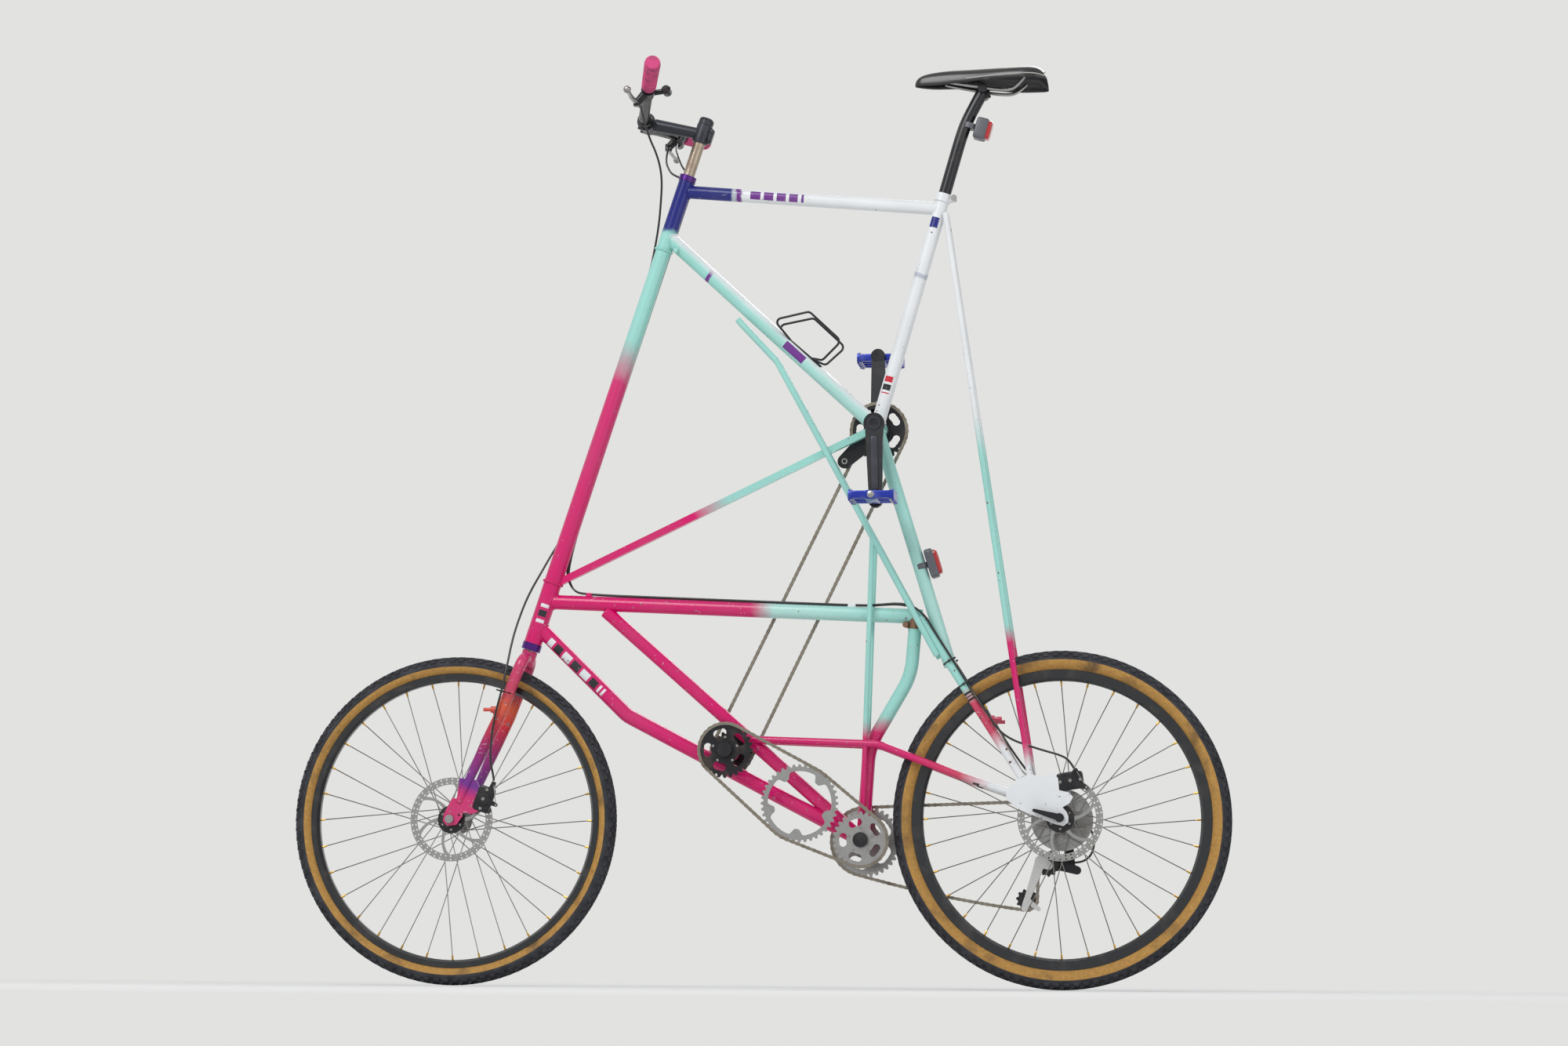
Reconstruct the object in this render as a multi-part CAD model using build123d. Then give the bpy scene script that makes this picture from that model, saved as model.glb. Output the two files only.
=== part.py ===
"""A tall bicycle welded from two frames, one above the other.

Millimetres. X runs to the rear, Y to the rider's right and Z up. The origin is
the point on the saddle where the rider sits. Positions are first written from
the ground under the rear axle, as distances along X and heights, and `at`
moves them to the saddle.
"""
from build123d import *
import math
import os

os.makedirs("parts", exist_ok=True)

# Seat point, measured from the ground under the rear axle
SEAT_X = -160.0
SEAT_HEIGHT = 1990.0

# Wheels
WHEELBASE = 1309.0
REAR_TYRE_R = 358.0
FRONT_TYRE_R = 354.0
REAR_TYRE_HALF = 25.5
FRONT_TYRE_HALF = 24.0
RIM_FLANGE_R = 317.0
RIM_BED_R = 312.5
REAR_RIM_INNER_R = 293.0
FRONT_RIM_INNER_R = 300.0
RIM_HALF = 14.0
RIM_WALL = 1.8
SPOKES = 32
SPOKE_R = 1.1
FLANGE_R = 29.0
FLANGE_T = 3.0
HUB_SHELL_R = 15.0
FRONT_HUB_HALF = 50.0
REAR_HUB_HALF = 67.5
LOCKNUT_T = 5.0
LOCKNUT_R = 9.0
AXLE_R = 5.0
RUNNING_CLEARANCE = 0.05
ROTOR_R = 90.0
ROTOR_T = 1.8
ROTOR_BAND = 15.0
ROTOR_CARRIER_R = 30.0
FRONT_ROTOR_Y = -39.5
REAR_ROTOR_Y = -52.0

# Steering column, heights above the ground
HEAD_ANGLE = 72.2
FORK_RAKE = 38.6
CROWN_HEIGHT = 704.0
LOWER_CUP_BOTTOM = 722.0
LOWER_HEAD_BOTTOM = 737.0
LOWER_HEAD_TOP = 866.0
EXTENSION_TOP = 1598.0
UPPER_HEAD_TOP = 1754.0
UPPER_CUP_TOP = 1766.0
STEM_BOTTOM = 1840.0
STEM_TOP = 1880.0
TOP_CAP_T = 6.0
STEERER_R = 12.7
COLUMN_BORE_R = 14.0
LOWER_HEAD_R = 19.5
UPPER_HEAD_R = 17.0
WELD_RING_R = 1.6
WELD_RING_H = 6.0
LOWER_CUP_R = 21.0
UPPER_CUP_R = 19.0

# Frame joints on the centre plane, as (x, height)
UPPER_BRACKET = (-396.0, 1202.0)
LOWER_BRACKET = (-422.0, 312.0)
JACKSHAFT = (-714.0, 503.0)
UPPER_SEAT_TOP = (-251.0, 1712.0)
LOWER_SEAT_TOP = (-309.0, 806.0)
UPPER_TOP_TUBE_HEIGHT = 1732.0
UPPER_DOWN_TUBE_HEIGHT = 1605.0
LOWER_TOP_TUBE_HEIGHT = 828.0
LOWER_DOWN_TUBE_HEIGHT = 768.0
DOWN_TUBE_BEND = (-935.0, 580.0)
STRUT_FRONT = (-985.0, 806.0)
BRIDGE = (-236.0, 684.0)

# Tube radii
TOP_TUBE_R = 14.3
DOWN_TUBE_R = 15.9
SEAT_TUBE_R = 14.3
LOWER_SEAT_TUBE_R = 14.3
LOWER_SEAT_BEND_R = 150.0
JACK_STRUT_R = 14.3
BRACE_WIDTH = 15.0
UPPER_STAY_R = 6.5
SEAT_STAY_R = 8.2
CHAIN_STAY_R = 8.0
SIDE_BRACE_R = 6.6
DROP_STRUT_R = 5.4
BRIDGE_R = 6.0

# Seat stays and the pivot posts of rim brakes
SEAT_STAY_TOP = (-300.0, 786.0)
SEAT_STAY_END = (-80.0, 442.0)
SEAT_STAY_TOP_Y = 19.0
POST_PIN_R = 4.0
POST_PIN_LENGTH = 16.0
POST_COLLAR_R = 7.0
REAR_POST_HEIGHT = 568.0
REAR_POST_REACH = 38.0
FRONT_POST_HEIGHT = 590.0
FRONT_POST_REACH = 41.0
EYELET_R = 2.5

# Bracket shells and axles
SHELL_R = 20.0
SHELL_HALF = 34.0
SPINDLE_R = 12.0
RING_Y = 45.0
RING_T = 2.2

# Crank
CRANK_LENGTH = 170.0
CRANK_ANGLE = -88.0
CRANK_EYE_R = 22.5
CRANK_END_R = 15.5
CRANK_EYE_Y = 57.0
CRANK_END_Y = 75.0
CRANK_T = 13.0
PEDAL_Y = 132.0
PEDAL_HALF = 46.0
PEDAL_LENGTH = 100.0
PEDAL_T = 26.0
PEDAL_PIN_R = 6.0

# Chain
CHAIN_PITCH = 12.7
CHAIN_PLATE_H = 8.4
CHAIN_PLATE_T = 1.3
CHAIN_GAP = 0.4
CHAIN_INNER_HALF = RING_T / 2 + CHAIN_GAP
CHAIN_PIN_R = 3.4

# Sprocket teeth
UPPER_TEETH = 30
JACK_FAR_TEETH = 22
JACK_NEAR_TEETH = 28
GHOST_TEETH = 40
LOWER_NEAR_TEETH = 28
LOWER_FAR_TEETH = 36
COG_TEETH = 21
GHOST_CENTRE = (-553.0, 389.0)
IDLER = (-470.0, 1134.0)
IDLER_R = 13.0

# Derailleur
GUIDE_PULLEY = (-30.0, 262.0)
TENSION_PULLEY = (-76.0, 189.5)
PULLEY_R = 22.0

# Dropouts
DROPOUT_T = 6.0
DROPOUT_OUTLINE = [  # x and height of the corners
    (-112.0, 414.0), (-91.0, 438.0), (-65.0, 449.0), (-38.0, 446.0),
    (-10.0, 450.0), (-3.0, 440.0), (-1.0, 416.0), (19.0, 411.0),
    (28.0, 402.0), (21.0, 389.0), (6.0, 380.0), (14.0, 371.0), (18.0, 362.0),
    (18.0, 349.0), (8.0, 341.0), (-10.0, 345.0), (-80.0, 373.0), (-112.0, 396.0),
]

# Handlebar and stem
BAR_CENTRE = (-907.0, 1887.0)
BAR_R = 11.5
BAR_BULGE_R = 15.9
BAR_BULGE_HALF = 40.0
BAR_BEND_Y = 52.0
BAR_END = (-836.0, 1929.0)
BAR_HALF = 352.0
GRIP_LENGTH = 130.0
GRIP_R = 16.0
GRIP_FLANGE_R = 19.0
STEM_R = 15.0
STEM_CLAMP_R = 20.0
STEM_CLAMP_HALF = 23.0

# Saddle and post
POST_R = 13.6
POST_DEPTH = 110.0
SADDLE_CLAMP = (-167.0, 1944.0)
SADDLE_LENGTH = 282.0
SADDLE_NOSE_X = -312.0
SADDLE_HALF_REAR = 72.0
SADDLE_HALF_NOSE = 19.0


def at(place, y=0.0):
    """Turns a place, as x and height above the ground, into part coordinates."""
    return Vector(place[0] - SEAT_X, y, place[1] - SEAT_HEIGHT)


def column(height):
    """Place on the steering axis at a height above the ground."""
    lean = math.radians(HEAD_ANGLE)
    foot_x = -WHEELBASE + FORK_RAKE * math.sin(lean)
    foot_z = FRONT_TYRE_R - FORK_RAKE * math.cos(lean)
    return (foot_x + (height - foot_z) / math.tan(lean), height)


def rod(start, end, radius, end_radius=None):
    """Round bar, or a cone where the second radius differs."""
    axis = end - start
    low = (Align.CENTER, Align.CENTER, Align.MIN)
    if end_radius is None or abs(end_radius - radius) < 1e-6:
        body = Cylinder(radius, axis.length, align=low)
    else:
        body = Cone(radius, end_radius, axis.length, align=low)
    return Plane(origin=start, z_dir=axis) * body


def bent_rod(points, radii, radius):
    """Round bar along straight runs joined by arcs."""
    path = FilletPolyline(*points, radius=radii)
    start = Plane(origin=path @ 0, z_dir=path % 0)
    return sweep(start * Circle(radius), path=path)


def square_bar(start, end, width):
    """Square bar with one pair of faces level with Y."""
    axis = end - start
    base = Plane(origin=start, x_dir=(0, 1, 0), z_dir=axis)
    return base * Box(width, width, axis.length, align=(Align.CENTER, Align.CENTER, Align.MIN))


def ring_between(start, end, radius, bore):
    """Hollow round bar."""
    return rod(start, end, radius) - rod(start, end, bore)


def side_disc(place, y_low, y_high, radius):
    """Disc or shaft that lies along Y."""
    return rod(at(place, y_low), at(place, y_high), radius)


def side_plate(outline, y_low, y_high):
    """Flat plate with an outline given as places, from one Y to another."""
    corners = [at(place, y_low) for place in outline]
    face = make_face(Polyline(*corners, close=True))
    plate = extrude(face, amount=y_high - y_low, dir=(0, 1, 0))
    return plate


def solids_of(*shapes):
    """All the solids of some shapes, in one list."""
    found = []
    for shape in shapes:
        found.extend(shape.solids())
    return found


def trimmed(shape, *tools):
    """The largest piece that is left of a shape when the tools are taken away."""
    for tool in tools:
        shape = shape - tool
    pieces = solids_of(shape)
    return max(pieces, key=lambda piece: piece.volume)


def pair(make, *tools):
    """A left and a right piece: make takes the side, -1 or 1."""
    return [trimmed(make(side), *tools) for side in (-1, 1)]


nodes = {}


def keep(name, *shapes):
    """Stores the solids of a node."""
    nodes[name] = solids_of(*shapes)


# Steering column tubes
steerer_whole = rod(at(column(CROWN_HEIGHT)), at(column(STEM_TOP)), STEERER_R)
column_bore = rod(at(column(CROWN_HEIGHT)), at(column(STEM_TOP)), COLUMN_BORE_R)
lower_head_solid = rod(at(column(LOWER_HEAD_BOTTOM)), at(column(LOWER_HEAD_TOP)), LOWER_HEAD_R)
lower_weld = rod(at(column(LOWER_HEAD_TOP)), at(column(LOWER_HEAD_TOP + WELD_RING_H)), LOWER_HEAD_R + WELD_RING_R)
extension_solid = rod(
    at(column(LOWER_HEAD_TOP + WELD_RING_H)), at(column(EXTENSION_TOP)), LOWER_HEAD_R, UPPER_HEAD_R
)
upper_weld = rod(at(column(EXTENSION_TOP)), at(column(EXTENSION_TOP + WELD_RING_H)), UPPER_HEAD_R + WELD_RING_R)
upper_head_solid = rod(at(column(EXTENSION_TOP + WELD_RING_H)), at(column(UPPER_HEAD_TOP)), UPPER_HEAD_R)
cup_bore = rod(at(column(CROWN_HEIGHT)), at(column(STEM_TOP)), STEERER_R + RUNNING_CLEARANCE)
lower_cup = rod(at(column(LOWER_CUP_BOTTOM)), at(column(LOWER_HEAD_BOTTOM)), LOWER_CUP_R) - cup_bore
upper_cup = rod(at(column(UPPER_HEAD_TOP)), at(column(UPPER_CUP_TOP)), UPPER_CUP_R) - cup_bore
head_column_solid = lower_head_solid + lower_weld + extension_solid + upper_weld + upper_head_solid
keep("head_column", head_column_solid - column_bore)
keep("headset_cups", lower_cup, upper_cup)

# Bracket shells, bored for their spindles
upper_shell_solid = side_disc(UPPER_BRACKET, -SHELL_HALF, SHELL_HALF, SHELL_R)
lower_shell_solid = side_disc(LOWER_BRACKET, -SHELL_HALF, SHELL_HALF, SHELL_R)
jack_shell_solid = side_disc(JACKSHAFT, -SHELL_HALF, SHELL_HALF, SHELL_R)
bore_r = SPINDLE_R + RUNNING_CLEARANCE
keep(
    "bracket_shells",
    upper_shell_solid - side_disc(UPPER_BRACKET, -SHELL_HALF, SHELL_HALF, bore_r),
    lower_shell_solid - side_disc(LOWER_BRACKET, -SHELL_HALF, SHELL_HALF, bore_r),
    jack_shell_solid - side_disc(JACKSHAFT, -SHELL_HALF, SHELL_HALF, bore_r),
)

# Upper frame
lean = (UPPER_SEAT_TOP[0] - UPPER_BRACKET[0]) / (UPPER_SEAT_TOP[1] - UPPER_BRACKET[1])


def on_seat_tube(height):
    """Place on the upper seat tube's axis at a height."""
    return (UPPER_SEAT_TOP[0] + lean * (height - UPPER_SEAT_TOP[1]), height)


post_top = on_seat_tube(SADDLE_CLAMP[1] - 6.0)
post_foot = on_seat_tube(UPPER_SEAT_TOP[1] - POST_DEPTH)
seat_post_solid = rod(at(post_foot), at(post_top), POST_R)
upper_seat_solid = rod(at(UPPER_BRACKET), at(UPPER_SEAT_TOP), SEAT_TUBE_R + 0.8)
upper_seat_tube = trimmed(upper_seat_solid, upper_shell_solid)
collar = rod(at(on_seat_tube(UPPER_SEAT_TOP[1] - 16.0)), at(on_seat_tube(UPPER_SEAT_TOP[1] + 1.0)), 18.0)
keep("upper_seat_tube", (upper_seat_tube + collar) - seat_post_solid)
upper_top_tube = trimmed(
    rod(at(column(UPPER_TOP_TUBE_HEIGHT)), at(on_seat_tube(1681.0)), TOP_TUBE_R),
    upper_head_solid,
    upper_seat_solid,
)
keep("upper_top_tube", upper_top_tube)
upper_down_tube = trimmed(
    rod(at(column(UPPER_DOWN_TUBE_HEIGHT + 26.0)), at(UPPER_BRACKET), DOWN_TUBE_R),
    upper_head_solid,
    upper_weld,
    extension_solid,
    upper_shell_solid,
    upper_seat_solid,
)
keep("upper_down_tube", upper_down_tube)

# Lower frame
lower_seat_path = [LOWER_SEAT_TOP, (-320.0, 665.0), (-409.0, 512.0), LOWER_BRACKET]
lower_seat_solid = bent_rod([at(place) for place in lower_seat_path], LOWER_SEAT_BEND_R, LOWER_SEAT_TUBE_R)
lower_seat_tube = trimmed(lower_seat_solid, lower_shell_solid)
keep("lower_seat_tube", lower_seat_tube)
lower_top_tube = trimmed(
    rod(at(column(LOWER_TOP_TUBE_HEIGHT)), at((-312.0, 791.0)), DOWN_TUBE_R),
    lower_head_solid,
    lower_seat_solid,
)
keep("lower_top_tube", lower_top_tube)
down_path = [column(LOWER_DOWN_TUBE_HEIGHT + 6.0), DOWN_TUBE_BEND, LOWER_BRACKET]
lower_down_solid = bent_rod([at(place) for place in down_path], 60.0, DOWN_TUBE_R)
lower_down_tube = trimmed(
    lower_down_solid, lower_head_solid, lower_top_tube, lower_cup, lower_shell_solid, lower_seat_solid, jack_shell_solid
)
keep("lower_down_tube", lower_down_tube)
jack_strut_solid = rod(at(STRUT_FRONT), at(LOWER_BRACKET), JACK_STRUT_R)
jack_strut = trimmed(
    jack_strut_solid, lower_top_tube, lower_down_tube, lower_shell_solid, lower_seat_solid, jack_shell_solid
)
keep("jackshaft_strut", jack_strut)

# Joining members between the two frames
seat_extension = trimmed(
    rod(at(UPPER_BRACKET), at(BRIDGE), SEAT_TUBE_R), upper_shell_solid, upper_down_tube, lower_top_tube,
    lower_seat_tube,
)
keep("seat_extension_tube", seat_extension)
diagonal = trimmed(
    square_bar(at(column(LOWER_HEAD_TOP - 4.0)), at(UPPER_BRACKET), BRACE_WIDTH),
    lower_head_solid,
    lower_weld,
    extension_solid,
    upper_shell_solid,
    lower_top_tube,
    upper_down_tube,
    seat_extension,
)
keep("diagonal_brace", diagonal)

# Dropout plates, one each side of the rear hub
plate_left = side_plate(DROPOUT_OUTLINE, -REAR_HUB_HALF - DROPOUT_T, -REAR_HUB_HALF)
plate_right = side_plate(DROPOUT_OUTLINE, REAR_HUB_HALF, REAR_HUB_HALF + DROPOUT_T)
rear_centre = (0.0, REAR_TYRE_R)
front_centre = (-WHEELBASE, FRONT_TYRE_R)
rear_axle_bore = side_disc(rear_centre, -REAR_HUB_HALF - DROPOUT_T, REAR_HUB_HALF + DROPOUT_T, AXLE_R)
keep("rear_dropouts", plate_left - rear_axle_bore, plate_right - rear_axle_bore)

stay_end_y = REAR_HUB_HALF - 1.0


def seat_stay(side):
    """Seat stay of one side."""
    return rod(at(SEAT_STAY_TOP, side * SEAT_STAY_TOP_Y), at(SEAT_STAY_END, side * stay_end_y), SEAT_STAY_R)


def chain_stay(side):
    """Raised chain stay of one side, level first and then down to the dropout."""
    places = [
        at((-660.0, 527.0), side * 14.0), at((-388.0, 516.0), side * 30.0),
        at((-205.0, 445.0), side * 51.0), at((-84.0, 404.0), side * stay_end_y),
    ]
    return bent_rod(places, [60.0, 60.0], CHAIN_STAY_R)


seat_stays = pair(seat_stay, lower_seat_tube, lower_top_tube, seat_extension, plate_left, plate_right)
chain_stays = pair(chain_stay, jack_strut, lower_seat_tube, plate_left, plate_right, *seat_stays)
bridges = [rod(at(BRIDGE, side * 2.0), at(BRIDGE, side * 40.0), BRIDGE_R) for side in (-1, 1)]
bridges = [trimmed(piece, seat_extension, *seat_stays) for piece in bridges]


def brake_post(x, height, y, reach, direction):
    """Pivot post of a rim brake: a collar, then a plain pin, along X."""
    root = at((x, height), y)
    shoulder = at((x + direction * (reach - POST_PIN_LENGTH), height), y)
    tip = at((x + direction * reach, height), y)
    return rod(root, shoulder, POST_COLLAR_R) + rod(shoulder, tip, POST_PIN_R)


stay_share = (SEAT_STAY_TOP[1] - REAR_POST_HEIGHT) / (SEAT_STAY_TOP[1] - SEAT_STAY_END[1])
rear_post_x = SEAT_STAY_TOP[0] + stay_share * (SEAT_STAY_END[0] - SEAT_STAY_TOP[0])
rear_post_y = SEAT_STAY_TOP_Y + stay_share * (stay_end_y - SEAT_STAY_TOP_Y)
posted_stays = []
for side, stay in zip((-1, 1), seat_stays):
    post = brake_post(rear_post_x, REAR_POST_HEIGHT, side * rear_post_y, REAR_POST_REACH, 1)
    posted_stays.append(stay + post)
seat_stays = posted_stays
keep("seat_stays", *seat_stays, *bridges)
keep("chain_stays", *chain_stays)


def upper_stay(side):
    """Long stay from the saddle cluster to the dropout."""
    return rod(at((-247.0, 1668.0), side * 16.0), at((-62.0, 442.0), side * stay_end_y), UPPER_STAY_R)


upper_stays = pair(upper_stay, upper_seat_solid, upper_top_tube, plate_left, plate_right, *seat_stays, *chain_stays)
keep("upper_stays", *upper_stays)


def side_brace(side):
    """Slim brace beside the seat stay, up to the upper down tube."""
    places = [
        at((-700.0, 1441.0), side * 17.0), at((-614.0, 1349.0), side * 22.0), at((-262.0, 704.0), side * 36.0),
    ]
    return bent_rod(places, [60.0], SIDE_BRACE_R)


side_braces = pair(
    side_brace, upper_down_tube, lower_top_tube, diagonal, seat_extension, lower_seat_tube, *seat_stays, *bridges
)
keep("side_braces", *side_braces)


def drop_strut(side):
    """Thin strut from the side brace down to the lower bracket."""
    return rod(at((-402.0, 955.0), side * 29.5), at(LOWER_BRACKET, side * 28.0), DROP_STRUT_R)


drop_struts = []
for side in (-1, 1):
    whole = drop_strut(side)
    for tool in [*side_braces, *chain_stays, lower_top_tube, lower_seat_tube, lower_shell_solid, jack_strut]:
        whole = whole - tool
    drop_struts.extend(piece for piece in solids_of(whole) if piece.volume > 500.0)
keep("drop_struts", *drop_struts)

# Saddle post, collars and saddle
post_head = side_disc(SADDLE_CLAMP, -24.0, 24.0, 14.0)
rail_reach = 95.0


def rail(side):
    """One saddle rail, level through the clamp and up at both ends."""
    middle_x, height = SADDLE_CLAMP
    places = [
        at((middle_x - 118.0, height + 22.0), side * 16.0), at((middle_x - 60.0, height), side * 21.0),
        at((middle_x + 62.0, height), side * 21.0), at((middle_x + 112.0, height + 22.0), side * 34.0),
    ]
    return bent_rod(places, [25.0, 25.0], 3.5)


rails = [rail(side) for side in (-1, 1)]
post_and_head = seat_post_solid + post_head
for piece in rails:
    post_and_head = post_and_head - piece
keep("seat_post", *solids_of(post_and_head))


def saddle_section(x, half, height_mid, thickness):
    """Cross section of the saddle at a distance ahead of the rear axle."""
    plane = Plane(origin=at((x, height_mid)), x_dir=(0, 1, 0), z_dir=(-1, 0, 0))
    return plane * RectangleRounded(2 * half, thickness, min(half, thickness / 2) * 0.9)


SADDLE_SECTIONS = [  # x, half width, height of the middle, thickness
    (-312.0, 14.0, 1972.0, 24.0), (-270.0, 20.0, 1973.0, 30.0), (-200.0, 32.0, 1972.0, 34.0),
    (-120.0, 64.0, 1973.0, 34.0), (-60.0, 72.0, 1976.0, 36.0), (-32.0, 60.0, 1980.0, 28.0),
]
saddle_solid = loft([saddle_section(*row) for row in SADDLE_SECTIONS], ruled=True)
for piece in rails:
    saddle_solid = saddle_solid - piece
saddle_solid = trimmed(saddle_solid, post_head)
keep("saddle", saddle_solid)
keep("saddle_rails", *rails)

# Chain runs and sprockets


def pitch_radius(teeth):
    """Radius of the circle on which the chain's pins lie."""
    return CHAIN_PITCH / (2 * math.sin(math.pi / teeth))


def sprocket(place, teeth, y_middle, bore, web=0.0, arms=0, window=None):
    """Toothed ring that lies along Y. Window is (inner, outer) radius of the openings between arms."""
    radius = pitch_radius(teeth)
    corners = []
    for index in range(teeth):
        middle = 2 * math.pi * index / teeth
        step = math.pi / teeth
        for turn, reach in ((-step, -4.2), (-0.30 * step, 3.4), (0.30 * step, 3.4)):
            angle = middle + turn
            size = radius + reach
            corners.append((place[0] + size * math.cos(angle), place[1] + size * math.sin(angle)))
    low, high = y_middle - RING_T / 2, y_middle + RING_T / 2
    disc = side_plate(corners, low, high)
    if bore:
        disc = disc - side_disc(place, low - 1.0, high + 1.0, bore)
    if window:
        inner, outer = window
        middle_r = (inner + outer) / 2
        hole_r = (outer - inner) / 2
        for index in range(arms):
            angle = 2 * math.pi * (index + 0.5) / arms
            for offset in (-0.17, 0.0, 0.17):
                spot = (
                    place[0] + middle_r * math.cos(angle + offset),
                    place[1] + middle_r * math.sin(angle + offset),
                )
                disc = disc - side_disc(spot, low - 1.0, high + 1.0, hole_r)
    return disc


def tangent(first, second):
    """Points where a belt leaves one circle and meets the next. A circle is (x, height, radius, sign)."""
    dx, dz = second[0] - first[0], second[1] - first[1]
    length = math.hypot(dx, dz)
    share = (first[2] * first[3] - second[2] * second[3]) / length
    rise = math.sqrt(1 - share * share)
    nx = dx / length * share - dz / length * rise
    nz = dz / length * share + dx / length * rise
    return (
        (first[0] + first[3] * first[2] * nx, first[1] + first[3] * first[2] * nz),
        (second[0] + second[3] * second[2] * nx, second[1] + second[3] * second[2] * nz),
    )


def belt_edges(circles, grow, y):
    """Lines and arcs of a closed belt round circles, moved outwards by grow."""
    grown = [(x, z, r + sign * grow, sign) for x, z, r, sign in circles]
    count = len(grown)
    runs = [tangent(grown[i], grown[(i + 1) % count]) for i in range(count)]
    edges = []
    for index in range(count):
        leave, meet = runs[index]
        edges.append(Line(at(leave, y), at(meet, y)))
        x, z, radius, sign = grown[(index + 1) % count]
        start = math.atan2(meet[1] - z, meet[0] - x)
        following = runs[(index + 1) % count][0]
        end = math.atan2(following[1] - z, following[0] - x)
        turn = (start - end) * sign
        while turn < 0:
            turn += 2 * math.pi
        while turn >= 2 * math.pi:
            turn -= 2 * math.pi
        middle = start - sign * turn / 2
        spot = (x + radius * math.cos(middle), z + radius * math.sin(middle))
        edges.append(ThreePointArc(at(meet, y), at(spot, y), at(following, y)))
    return edges, runs


def chain(circles, y_middle):
    """Chain as two rows of plates with pins across its straight runs."""
    body = None
    for side in (-1, 1):
        low = y_middle + side * CHAIN_INNER_HALF
        outer, _ = belt_edges(circles, CHAIN_PLATE_H / 2, low)
        inner, _ = belt_edges(circles, -CHAIN_PLATE_H / 2, low)
        face = make_face(outer) - make_face(inner)
        row = extrude(face, amount=CHAIN_PLATE_T, dir=(0, side, 0))
        body = row if body is None else body + row
    _, runs = belt_edges(circles, 0.0, y_middle)
    pins = []
    for leave, meet in runs:
        dx, dz = meet[0] - leave[0], meet[1] - leave[1]
        length = math.hypot(dx, dz)
        free = length - 8 * CHAIN_PITCH
        if free <= 0:
            continue
        count = int(free // (2 * CHAIN_PITCH)) + 1
        first = (length - (count - 1) * 2 * CHAIN_PITCH) / 2
        for index in range(count):
            along = first + index * 2 * CHAIN_PITCH
            spot = (leave[0] + dx * along / length, leave[1] + dz * along / length)
            base = Plane(origin=at(spot, y_middle), x_dir=(dx, 0, dz), z_dir=(0, 1, 0))
            pins.append(base * Box(2 * CHAIN_PIN_R, 2 * CHAIN_PIN_R, 2 * CHAIN_INNER_HALF))
    return body.fuse(*solids_of(*pins))


upper_r, jack_far_r = pitch_radius(UPPER_TEETH), pitch_radius(JACK_FAR_TEETH)
jack_near_r, ghost_r = pitch_radius(JACK_NEAR_TEETH), pitch_radius(GHOST_TEETH)
lower_near_r, lower_far_r = pitch_radius(LOWER_NEAR_TEETH), pitch_radius(LOWER_FAR_TEETH)
cog_r = pitch_radius(COG_TEETH)
long_chain = chain(
    [(*UPPER_BRACKET, upper_r, 1), (*JACKSHAFT, jack_far_r, 1), (*IDLER, IDLER_R, -1)], RING_Y
)
near_chain = chain(
    [
        (*JACKSHAFT, jack_near_r, 1), (*GHOST_CENTRE, ghost_r, 1), (*LOWER_BRACKET, lower_near_r, 1),
        (*GHOST_CENTRE, ghost_r, 1),
    ],
    -RING_Y,
)
rear_chain = chain(
    [
        (*LOWER_BRACKET, lower_far_r, 1), (*rear_centre, cog_r, 1), (*GUIDE_PULLEY, PULLEY_R, -1),
        (*TENSION_PULLEY, PULLEY_R, 1),
    ],
    RING_Y,
)
keep("long_chain", long_chain)
keep("near_chain", near_chain)
keep("rear_chain", rear_chain)

# Crank, with both arms on one spindle
spindle = side_disc(UPPER_BRACKET, -CRANK_EYE_Y - CRANK_T / 2 + 3.0, CRANK_EYE_Y + CRANK_T / 2 - 3.0, SPINDLE_R)


def crank_arm(side):
    """One crank arm with its pedal pin. The left arm points down and the right one up."""
    angle = math.radians(CRANK_ANGLE + (0.0 if side < 0 else 180.0))
    end = (
        UPPER_BRACKET[0] + CRANK_LENGTH * math.cos(angle),
        UPPER_BRACKET[1] + CRANK_LENGTH * math.sin(angle),
    )
    half = CRANK_T / 2
    eye = side_disc(UPPER_BRACKET, side * (CRANK_EYE_Y - half), side * (CRANK_EYE_Y + half), CRANK_EYE_R)
    tip = side_disc(end, side * (CRANK_END_Y - half), side * (CRANK_END_Y + half), CRANK_END_R)
    start_point, end_point = at(UPPER_BRACKET, side * CRANK_EYE_Y), at(end, side * CRANK_END_Y)
    along = end_point - start_point
    blade_start = Plane(origin=start_point, x_dir=(math.sin(angle), 0, -math.cos(angle)), z_dir=along)
    blade_end = Plane(origin=end_point, x_dir=(math.sin(angle), 0, -math.cos(angle)), z_dir=along)
    blade = loft(
        [blade_start * Rectangle(1.75 * CRANK_EYE_R, CRANK_T - 1.0), blade_end * Rectangle(1.8 * CRANK_END_R, CRANK_T - 3.0)],
        ruled=True,
    )
    pin = side_disc(end, side * (CRANK_END_Y + half), side * (PEDAL_Y + PEDAL_HALF - 6.0), PEDAL_PIN_R)
    return eye + tip + blade + pin


cranks = crank_arm(-1) + spindle + crank_arm(1)
spider = side_disc(UPPER_BRACKET, RING_Y + RING_T / 2, CRANK_EYE_Y - CRANK_T / 2, 26.0)
cranks = cranks + spider
keep("crank_arms", cranks)
keep("upper_chainring", sprocket(UPPER_BRACKET, UPPER_TEETH, RING_Y, SPINDLE_R, arms=5, window=(34.0, 50.0)))


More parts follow.
